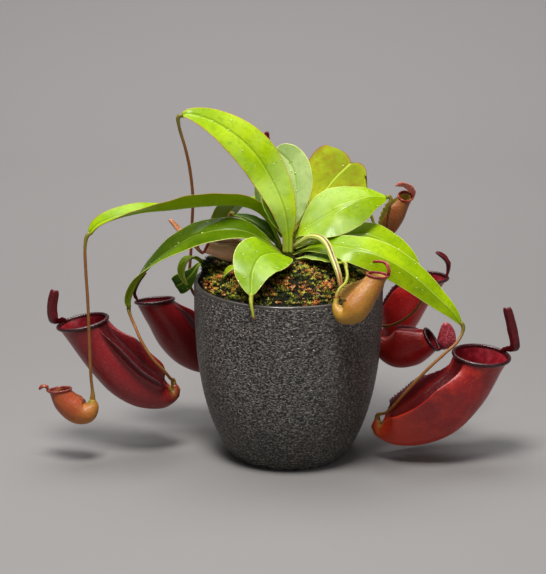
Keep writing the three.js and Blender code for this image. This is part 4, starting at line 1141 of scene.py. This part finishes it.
def add_tufts(body, radii, heights):
    """Tufts of sprigs on the mound, green or rust in patches and dark in others, with more dark tufts
    towards the back as painted shade under the leaves. The spots are the pick of a colour, 1 at a tip,
    and how wet it is."""
    rng = np.random.default_rng(TUFT_SEED)
    inner, outer = HOLE_RADIUS + TUFT_MARGINS[0], MOSS_RADIUS - TUFT_MARGINS[1]
    spread = np.sqrt(rng.uniform(inner**2, outer**2, TUFTS))
    angle = rng.uniform(0, TURN, TUFTS)
    keep = rng.uniform(0, 1, TUFTS) < CROWN_TUFTS + smoothstep(spread, *BARE_RADII)
    spread, angle = spread[keep], angle[keep]
    count = len(spread)
    flat = np.stack([spread * np.cos(angle), spread * np.sin(angle), np.zeros(count)], -1)
    ring_at = ((spread - radii[0]) / (radii[-1] - radii[0]) * (MOSS_RINGS - 1)).round().astype(int)
    turn_at = (angle / TURN * MOSS_SIDES).astype(int) % MOSS_SIDES
    centre = flat + np.array([0, 0, 1]) * (heights[ring_at, turn_at] - TUFT_SINK)[:, None]
    patch, dark_patch = relief(flat, PATCH_SIZE), relief(flat + DARK_PATCH_SHIFT, DARK_PATCH_SIZE)
    ahead = smoothstep(-flat[:, 1], *BACK_SHADE_FADE)
    tone = rng.uniform(0, 0.55, count) + 0.75 * patch + 0.3
    green, rust = rng.uniform(*GREEN_PICK, count), rng.uniform(*RUST_PICK, count)
    pick = np.where(tone < GREEN_LIMIT, green, rust)
    # dark tufts come in patches and at random, and more of them towards the back: painted shade under the
    # leaves
    gloom = rng.uniform(0, 1, count) + 0.6 * dark_patch + 0.5 * ahead
    pick = np.where(gloom < DARK_LIMIT, rng.uniform(*DARK_PICK, count), pick)
    wide = rng.uniform(*TUFT_SIZE, count)
    for i in range(count):
        number = int(FEWEST_SPRIGS + SPRIGS_PER_SIZE * wide[i] ** 2)
        lean = rng.normal(0, SPRIG_LEAN, (number, 3)) * SPRIG_FLATNESS
        way = unit(lean + np.array([0, 0, 1.0]))
        start = centre[i] + lean * (1, 1, 0) * wide[i] * TUFT_SPREAD
        growth = SPRIG_GROWTH[0] + SPRIG_GROWTH[1] * wide[i]
        end = start + way * (rng.uniform(*SPRIG_HEIGHT, number) * growth)[:, None]
        for line in (start, end):
            far = np.hypot(line[:, 0], line[:, 1])
            line[:, :2] *= np.minimum(1, (MOSS_RADIUS + SPRIG_OVERHANG) / far)[:, None]
        spots = np.zeros((number, 4))
        spots[:, 0] = np.clip(pick[i] + rng.normal(0, PICK_SCATTER, number), 0, 1)
        spots[:, 2] = rng.uniform(0, SPRIG_WETNESS, number)
        add_spikes(body, start, end, rng.uniform(*SPRIG_RADIUS, number), spots, bright_tips=True)


def build_moss():
    body = Body()
    radii = np.linspace(HOLE_RADIUS, MOSS_RADIUS, MOSS_RINGS)
    add_tufts(body, radii, add_mound(body, radii))
    body.piece("moss_sprigs", [moss_paint()], "moss", "moss")


def build_crumbs(paint):
    """Crumbs of growing mix that lie on the moss, most of them round the crown."""
    rng = np.random.default_rng(CRUMB_SEED)
    body = Body()
    for _ in range(CRUMBS):
        angle = rng.uniform(0, TURN)
        r = rng.uniform(*(CROWN_FIELD if rng.uniform() < CROWN_CRUMBS else OUTER_FIELD))
        size = rng.uniform(*CRUMB_SIZE)
        height = mound_height(r) + size * CRUMB_RISE
        add_crumb(body, (r * math.cos(angle), r * math.sin(angle), height), size, rng)
    body.piece("soil_crumbs", [paint], "soil")


def build_roots():
    """Thin pale roots and dry stalks that stand out of the moss near the rim."""
    rng = np.random.default_rng(ROOT_SEED)
    body = Body()
    for x, y in ROOT_PLACES:
        points = [np.array([x, y, mound_height(math.hypot(x, y)) - 1.0])]
        way = np.array([rng.normal(0, ROOT_LEAN), rng.normal(0, ROOT_LEAN), 1.0])
        for _ in range(ROOT_BENDS):
            points.append(points[-1] + unit(way) * rng.uniform(*ROOT_STEP))
            way = way + rng.normal(0, ROOT_TURN, 3)
        points = Curve(points).at(np.linspace(0, 1, ROOT_POINTS))
        points[:, :2] *= np.minimum(1, (MOSS_RADIUS - 0.5) / np.hypot(points[:, 0], points[:, 1]))[:, None]
        add_tube(body, points, np.linspace(*ROOT_RADII, ROOT_POINTS), ROOT_SIDES)
    paint = tendril_paint("dry_root", rgb(150, 120, 90), rgb(190, 150, 120), rgb(210, 170, 140))
    body.piece("dry_roots", [paint], "moss")


def build_stem():
    """The short stem, with a low ring where each leaf has grown."""
    depths, shares = np.array(STEM_END).T
    foot = mound_height(HOLE_RADIUS) - MOSS_THICKNESS - STEM_HOLE_DEPTH
    middle = np.linspace(foot + 4, STEM_TOP - 3, STEM_ROWS)
    z = np.concatenate([[foot, foot + 1, foot + 2], middle, STEM_TOP - depths])
    r = np.where(z > MOUND_TOP, stem_radius(z), STEM_FOOT_RADIUS)
    r[:2] -= STEM_FOOT_BEVEL
    r[-len(shares):] *= shares
    scars = SCAR_DEPTH * np.sin(z * SCAR_PITCH) * smoothstep(z, MOUND_TOP, MOUND_TOP + 4)
    body = Body()
    add_tube(body, np.outer(z, (0, 0, 1)), r + scars * (z < STEM_TOP - 3), STEM_SIDES)
    body.piece("stem_skin", [stem_paint()], "stem", "stem")


def build_leaves(paints, drops):
    """Every leaf blade, in the finish that its table names, with drops on all but the smallest."""
    for number, (name, leaf) in enumerate(LEAVES.items()):
        rng = np.random.default_rng(LEAF_SEED + number)
        body = Body()
        wave = MARGIN_WAVE * min(1, leaf["half"] / FULL_WAVE_HALF)
        tops, normals = add_blade(body, leaf_curve(leaf), leaf, rng, wave=wave)
        if leaf["half"] > DROP_LEAF_HALF:
            add_drops(body, tops, normals, rng, int(leaf["half"] * DROPS_PER_HALF))
        body.piece(name + "_blade", [paints[leaf["finish"]], drops], leaf["slot"], name)


def build_rolled():
    """The rolled young leaf: a tube with a seam where each of its two edges meets the other half."""
    curve = leaf_curve(ROLLED_LEAF)
    t = np.linspace(0, 1, ROLLED_ROWS)

    def flute(turn):
        gap = (turn / TURN - ROLL_SEAM + 0.25) % 0.5 - 0.25
        return 1 - SEAM_DEPTH * hump(gap, SEAM_WIDTH) + ROLL_OVAL * np.cos(turn * 2)

    body = Body()
    add_tube(body, curve.point(t), sample_list(ROLLED_LEAF["radii"], t), ROLLED_SIDES, flute)
    body.piece("leaf_rolled_tube", [rolled_paint()], "rolled_leaf", "leaf_rolled")


def build_tendrils(paints):
    """Every tendril, from inside its leaf's tip to inside its pitcher's foot."""
    for name, points in TENDRILS.items():
        number = name[-2:]
        leaf = leaf_curve(LEAVES["leaf_" + number])
        pitcher = PITCHERS.get("pitcher_" + number)
        tip, way = leaf.point([1.0])[0], leaf.tangent([1.0])[0]
        route = [tip - way * TENDRIL_SINK, tip + way * TENDRIL_START, *points]
        end_radius = TENDRIL_RADIUS * FREE_TIP
        if pitcher:
            cup = Curve(pitcher["path"])
            foot, foot_way = cup.point([0.0])[0], cup.tangent([0.0])[0]
            route += [foot + foot_way * depth for depth in TENDRIL_INSIDE]
            end_radius = pitcher["radii"][0] * TENDRIL_FIT
        curve = Curve(route)
        t = np.linspace(0, 1, max(FEWEST_RINGS, round(curve.length / TENDRIL_STEP)))
        flare = 1 - smoothstep((1 - t) * curve.length, 0, TENDRIL_FLARE)
        radii = TENDRIL_RADIUS + (end_radius - TENDRIL_RADIUS) * flare
        radii = radii + TENDRIL_KNOT * hump(t * curve.length - TENDRIL_KNOT_AT, TENDRIL_KNOT_LENGTH)
        line = curve.point(t)
        body = Body()
        waver = 1 + TENDRIL_WAVER * relief(line, TENDRIL_WAVER_SIZE)
        add_tube(body, line, radii * waver, TENDRIL_SIDES)
        body.piece(name + "_stalk", [paints[TENDRIL_FINISH.get(number, "brown")]], "tendril", name)


class Pitcher:
    """One pitcher. Its cup, wings and hollow are rings of corners round its path, which turn level
    with its mouth. The spots are the share of a half turn from the front, the share of the length,
    and the share of the wing's height."""

    def __init__(self, data):
        self.curve = Curve(data["path"])
        self.radii = data["radii"]
        self.across = unit(np.array(data["side"], float))
        self.mouth = unit(np.array(data["mouth"], float))
        self.wing_heights = data["wing"]
        self.wing_from = data["wing_from"]
        self.wing_full = self.wing_from + data["wing_rise"]

    def stand(self, u):
        """Share of its full height that a wing has at u."""
        return smoothstep(u, self.wing_from, self.wing_full) * (1 - smoothstep(u, WING_FALL, 1))

    def radius(self, u):
        return sample_list(self.radii, self.curve.place(u))[:, None]

    def rings(self, u, angles, out=0.0, lift=0.0):
        """Corners round the path at u, at angles from its front, out from the cup and lifted."""
        forward = self.curve.tangent(u)
        side = unit(self.across - (forward @ self.across)[:, None] * forward)
        front = np.cross(side, forward)
        plane = unit(forward + (self.mouth - forward) * smoothstep(u, LEVEL_START, 1)[:, None])
        centre = self.curve.point(u) + plane * np.reshape(lift, (-1, 1))
        turn = np.radians(angles)
        flat = front[:, None] * np.cos(turn)[..., None] + side[:, None] * np.sin(turn)[..., None]
        flat = flat * (self.radius(u) + out)[..., None]
        slip = np.einsum("nmk,nk->nm", flat, plane) / np.sum(forward * plane, 1)[:, None]
        return centre[:, None] + flat - forward[:, None] * slip[..., None]

    def columns(self, u):
        """Angles of the columns round the cup at u, how far the wings stand out there, and a
        number from 0 to 1 that says how much of a dark wing it is. A near wing that is the higher
        one is a thin flap."""
        near, far = self.wing_heights
        flap = near > far
        near_shares, near_offsets = np.array(THIN_WING if flap else SOFT_WING).T
        far_shares, far_offsets = np.array(THIN_WING).T
        radius = self.radius(u)
        rise = self.stand(u)[:, None]
        fine = np.minimum(1, radius / FULL_SECTION_RADIUS)
        first = WING_ANGLE + np.degrees(near_offsets * fine / (radius + near_shares * near * rise))
        second = 360 - WING_ANGLE + np.degrees(far_offsets * fine / (radius + far_shares * far * rise))
        back = np.linspace(0, 1, BACK_COLUMNS + 2)[1:-1]
        gap = np.linspace(0, 1, FRONT_COLUMNS + 2)[1:-1]
        rear = first[:, -1:] + (second[:, :1] - first[:, -1:]) * back
        front = second[:, -1:] + (360 + first[:, :1] - second[:, -1:]) * gap
        scallop = 1 + SCALLOP * np.sin(u * self.curve.length * SCALLOP_PITCH)[:, None]
        near_heights = near * near_shares * (scallop if flap else np.ones_like(scallop))
        heights = np.hstack([near_heights, 0 * rear, far * far_shares * scallop, 0 * front])
        near_fin = near_shares * (1 if flap else SOFT_WING_TONE)
        fin = np.concatenate([near_fin, 0 * back, far_shares, 0 * gap])
        return np.hstack([first, rear, second, front]), heights * rise, fin * rise

    def add_cup(self, body):
        """The skin with its wings, the collar, and the hollow, which ends inside the cup."""
        lip = min(LIP_MOST, LIP_LEAST + LIP_SHARE * self.radii[-1])
        length = self.curve.length
        skin = np.linspace(0, 1 - SKIN_END * lip / length, PITCHER_ROWS)
        top = np.ones(COLLAR_ROWS)
        deep = np.linspace(1 - CAVITY_TOP / length, CAVITY_START, CAVITY_ROWS)
        u = np.concatenate([skin, top, deep])
        angles, height, fin = self.columns(u)
        phi = np.radians(np.linspace(*COLLAR_ARC, COLLAR_ROWS))
        out, lift = np.zeros(len(u)), np.zeros(len(u))
        collar = slice(len(skin), len(skin) + COLLAR_ROWS)
        out[collar] = LIP_OUT * lip + lip * np.cos(phi)
        lift[collar] = LIP_UP * lip + lip * np.sin(phi)
        out[collar.stop:] = -PITCHER_WALL
        height[collar.start:] = 0
        fin[collar.start:] = 0
        corners = self.rings(u, angles, out[:, None] + height, lift)
        spots = np.stack([((angles + 180) % 360 - 180) / 180, u[:, None] + 0 * angles, fin, 0 * fin], -1)
        columns = angles.shape[1]
        faces = loop_faces(len(u), columns)
        skin_end, collar_end = (collar.start - 1) * columns, collar.stop * columns
        slots = [SKIN] * skin_end + [COLLAR] * (collar_end - skin_end) + [INSIDE] * (len(faces) - collar_end)
        slots[-2] = SKIN
        body.add(corners, faces, spots.reshape(-1, 4), slots)

    def add_bristles(self, body, rng):
        """Bristles along the far wing."""
        length = self.curve.length
        reach = np.arange(self.wing_from * length + BRISTLE_START, length * BRISTLE_END, BRISTLE_STEP)
        place = (reach + rng.uniform(-BRISTLE_SCATTER, BRISTLE_SCATTER, len(reach))) / length
        height = self.wing_heights[1] * self.stand(place)
        spin = np.full((len(place), 1), 360 - WING_ANGLE)
        share, sink = BRISTLE_FOOT
        base = self.rings(place, spin, (height * share - sink)[:, None])[:, 0]
        spin = spin + rng.normal(0, BRISTLE_SPIN, spin.shape)
        out = self.rings(place, spin, (height + BRISTLE_REACH)[:, None])[:, 0]
        fine = min(1, self.radii[-1] / FULL_SECTION_RADIUS + SMALL_BRISTLE)
        long = rng.uniform(*BRISTLE_LENGTH, len(place)) * fine
        tips = base + unit(out - base + rng.normal(0, BRISTLE_SCATTER, out.shape)) * long[:, None]
        strong = height > BARE_WING
        add_spikes(body, base[strong], tips[strong], BRISTLE_RADIUS, np.tile(BRISTLE_SPOT, (strong.sum(), 1)))

    def add_lid(self, body, lid, rng):
        """The lid, on a neck at the back of the collar."""
        forward = self.curve.tangent([1.0])[0]
        back = np.cross(forward, unit(self.across - (self.across @ forward) * forward))
        rim_way = back - forward * (back @ self.mouth) / (forward @ self.mouth)
        root = self.curve.point([1.0])[0] + rim_way * (self.radii[-1] + LID_ROOT)
        neck = root + self.mouth * (COLLAR_HEIGHT + LID_NECK)
        add_blade(body, Curve([root, neck, *lid["path"]]), lid, rng, LID_SLOT, wave=LID_WAVE)


def build_pitchers(families):
    """Every pitcher, in the colours of its family."""
    for number, (name, data) in enumerate(PITCHERS.items()):
        rng = np.random.default_rng(PITCHER_SEED + number)
        body = Body()
        pitcher = Pitcher(data)
        pitcher.add_cup(body)
        pitcher.add_bristles(body, rng)
        pitcher.add_lid(body, data["lid"], rng)
        body.piece(name + "_cup", families[data["family"]], data["slot"], name)


def build_stage():
    """A pale floor that curves up behind, painted darker at the front than at the back as painted shade
    against the stronger light on the floor, three soft lights and an even sky.
    """
    p = Paint("backdrop_paper")
    distance = p.node("SeparateXYZ", {0: p.place}).outputs[1]
    # painted shade: darker at the front, lighter towards the back wall
    colour = p.mix(p.rise(distance, *STAGE_SHADE), STAGE_COLOUR, STAGE_BACK_COLOUR)
    paper = p.finish(colour, 0.9, ior=1.5, specular=0.1)
    bend = [(y, 0.0) for y in np.linspace(STAGE_FRONT, STAGE_BACK, 12)]
    bend += [(STAGE_BACK + STAGE_BEND * math.sin(a), STAGE_BEND * (1 - math.cos(a)))
             for a in np.radians(np.linspace(4, 88, 22))]
    bend.append((STAGE_BACK + STAGE_BEND, STAGE_TOP))
    corners = [(x, y, z) for y, z in bend for x in (-STAGE_HALF_WIDTH, STAGE_HALF_WIDTH)]
    faces = [(2 * i, 2 * i + 1, 2 * i + 3, 2 * i + 2) for i in range(len(bend) - 1)]
    backdrop = link("backdrop", smooth_mesh("backdrop", corners, faces, [paper]))

    for name, place, aim, size, power, colour in LIGHTS:
        light = bpy.data.lights.new(name, "AREA")
        light.shape = "RECTANGLE"
        light.size, light.size_y = size
        light.energy = power
        light.color = colour
        lamp = link(name, light)
        lamp.location = place
        lamp.rotation_euler = (Vector(aim) - Vector(place)).to_track_quat("-Z", "Y").to_euler()

    world = bpy.data.worlds.new("even_sky")
    world.use_nodes = True
    sky = world.node_tree.nodes["Background"]
    sky.inputs["Color"].default_value = (*SKY_COLOUR, 1)
    sky.inputs["Strength"].default_value = SKY_STRENGTH
    bpy.context.scene.world = world
    bpy.context.scene.view_settings.view_transform = "Standard"


def build_camera():
    """The camera at the photograph's place and angle."""
    camera = bpy.data.cameras.new("camera")
    camera.sensor_width = SENSOR
    camera.lens = FOCAL_PIXELS / PICTURE_HEIGHT * SENSOR
    seen_from = link("camera", camera)
    seen_from.location = CAMERA_PLACE
    seen_from.rotation_euler = (math.radians(90 - CAMERA_DOWN), 0, 0)
    bpy.context.scene.camera = seen_from


build_camera()
build_stage()
build_pot()
build_moss()
soil = soil_paint()
build_crumbs(soil)
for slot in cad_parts["soil"].material_slots:
    slot.material = soil
build_roots()
build_stem()

# Leaves: what each finish changes in the fresh one
FRESH = dict(light=rgb(168, 200, 2), deep=rgb(112, 152, 0), margin=rgb(232, 232, 130), tip=rgb(150, 150, 30))
LEAF_FINISHES = dict(
    fresh=dict(FRESH),
    # painted_sheen: the fresh greens with a painted sheen towards the stalk
    painted_sheen=dict(FRESH, sheen=(0.85, 0.3, 0.6)),
    # front: darker greens as painted shade, and a painted sheen towards the tip
    front=dict(FRESH, light=rgb(150, 186, 2), deep=rgb(98, 138, 0), sheen=(0.5, 0.9, 0.5)),
    # pale: pale mint greens that paint a sheen over the whole blade
    pale=dict(FRESH, light=rgb(214, 234, 156), deep=rgb(172, 210, 112), coat=0.5),
    # rosy: reddish margins of its own, and a painted sheen towards the stalk
    rosy=dict(FRESH, light=rgb(178, 208, 4), margin=rgb(206, 130, 70), sheen=(0.9, 0.3, 0.35)),
    shaded=dict(FRESH, light=rgb(112, 146, 4), deep=rgb(66, 98, 2), below=rgb(168, 196, 20)),
    twisted=dict(FRESH, below=rgb(170, 196, 20), margin=rgb(170, 110, 50)),
    old=dict(light=rgb(170, 184, 26), deep=rgb(130, 146, 20), margin=rgb(140, 56, 34), tip=rgb(150, 96, 34),
             blush=0.45, shine=0.6, coat=0.0, rib=0.85),
    # dark: dark greens as painted shade, for leaves deep in the plant's shade
    dark=dict(light=rgb(74, 108, 14), deep=rgb(38, 64, 6), margin=rgb(150, 170, 60), tip=rgb(90, 110, 30),
              through=0.1, coat=0.1),
)
leaf_paints = {name: leaf_paint("leaf_" + name, **finish) for name, finish in LEAF_FINISHES.items()}
build_leaves(leaf_paints, drop_paint("water_drop", rgb(140, 178, 30)))
build_rolled()

# Tendrils: their colours at the leaf, along most of their length, and at the pitcher
TENDRIL_FINISHES = dict(
    brown=(rgb(120, 120, 30), rgb(140, 88, 36), rgb(150, 116, 40)),
    red=(rgb(100, 100, 26), rgb(124, 62, 30), rgb(140, 80, 34)),
    green=(rgb(150, 180, 30), rgb(150, 160, 40), rgb(160, 80, 34)),
)
build_tendrils({name: tendril_paint("tendril_" + name, *tones) for name, tones in TENDRIL_FINISHES.items()})

# Pitchers: the paints of each part, and which skin, collar, inside and lid each family has
YELLOW = rgb(214, 176, 84)
MATT = dict(speck=YELLOW, wing_sheen=YELLOW, rough=0.44, coat=0.05, mottle=0.5)
SKINS = dict(
    red=dict(low=rgb(214, 54, 20), high=rgb(146, 14, 16)),
    bright=dict(low=rgb(196, 40, 18), high=rgb(176, 24, 26), groove=rgb(110, 14, 22)),
    crimson=dict(low=rgb(136, 22, 22), high=rgb(134, 16, 24)),
    coral=dict(MATT, foot=rgb(150, 146, 40), low=rgb(176, 112, 40), high=rgb(164, 66, 34),
               wing=rgb(150, 70, 40), groove=rgb(140, 70, 40)),
    orange=dict(MATT, foot=rgb(150, 130, 36), low=rgb(176, 134, 40), high=rgb(162, 100, 36),
                wing=rgb(124, 92, 30), groove=rgb(126, 84, 34)),
    rust=dict(MATT, foot=rgb(150, 130, 36), low=rgb(170, 100, 40), high=rgb(150, 76, 36),
              wing=rgb(112, 116, 34), groove=rgb(110, 100, 34)),
    tan=dict(foot=rgb(140, 110, 50), low=rgb(232, 188, 128), high=rgb(240, 184, 146),
             wing=rgb(120, 62, 30), groove=rgb(120, 70, 36), speck=YELLOW, wing_sheen=YELLOW),
)
COLLARS = dict(
    maroon=(rgb(48, 8, 12), rgb(84, 18, 26)),
    brick=(rgb(120, 40, 34), rgb(190, 90, 66)),
    red=(rgb(128, 26, 34), rgb(176, 60, 60)),
    rust=(rgb(140, 40, 34), rgb(190, 80, 60)),
    pink=(rgb(170, 50, 46), rgb(200, 110, 90)),
)
INSIDES = dict(
    red=(rgb(116, 12, 24), rgb(158, 40, 54)),
    brown=(rgb(120, 64, 34), rgb(170, 104, 62)),
    green=(rgb(170, 150, 60), rgb(190, 130, 60)),
    dark=(rgb(34, 18, 12), rgb(70, 40, 24)),
)
LIDS = dict(
    maroon=(rgb(78, 6, 14), rgb(104, 16, 24)),
    pink=(rgb(146, 30, 46), rgb(200, 96, 104)),
    brick=(rgb(130, 50, 36), rgb(170, 84, 60)),
    red=(rgb(140, 34, 36), rgb(180, 76, 62)),
    salmon=(rgb(204, 104, 90), rgb(234, 160, 140)),
    tan=(rgb(150, 88, 50), rgb(196, 136, 88)),
)
FAMILIES = dict(
    red=("red", "maroon", "red", "maroon"),
    bright=("bright", "maroon", "red", "maroon"),
    crimson=("crimson", "maroon", "red", "maroon"),
    pink=("bright", "maroon", "red", "pink"),
    coral=("coral", "brick", "brown", "brick"),
    orange=("orange", "red", "green", "red"),
    salmon=("rust", "rust", "green", "salmon"),
    tan=("tan", "pink", "dark", "tan"),
)
parts = (
    {name: pitcher_paint("pitcher_" + name, **tones) for name, tones in SKINS.items()},
    {name: lip_paint("collar_" + name, *tones) for name, tones in COLLARS.items()},
    {name: inner_paint("inside_" + name, *tones) for name, tones in INSIDES.items()},
    {name: lid_paint("lid_" + name, *tones) for name, tones in LIDS.items()},
)
build_pitchers({family: [paints[name] for paints, name in zip(parts, names)]
                for family, names in FAMILIES.items()})
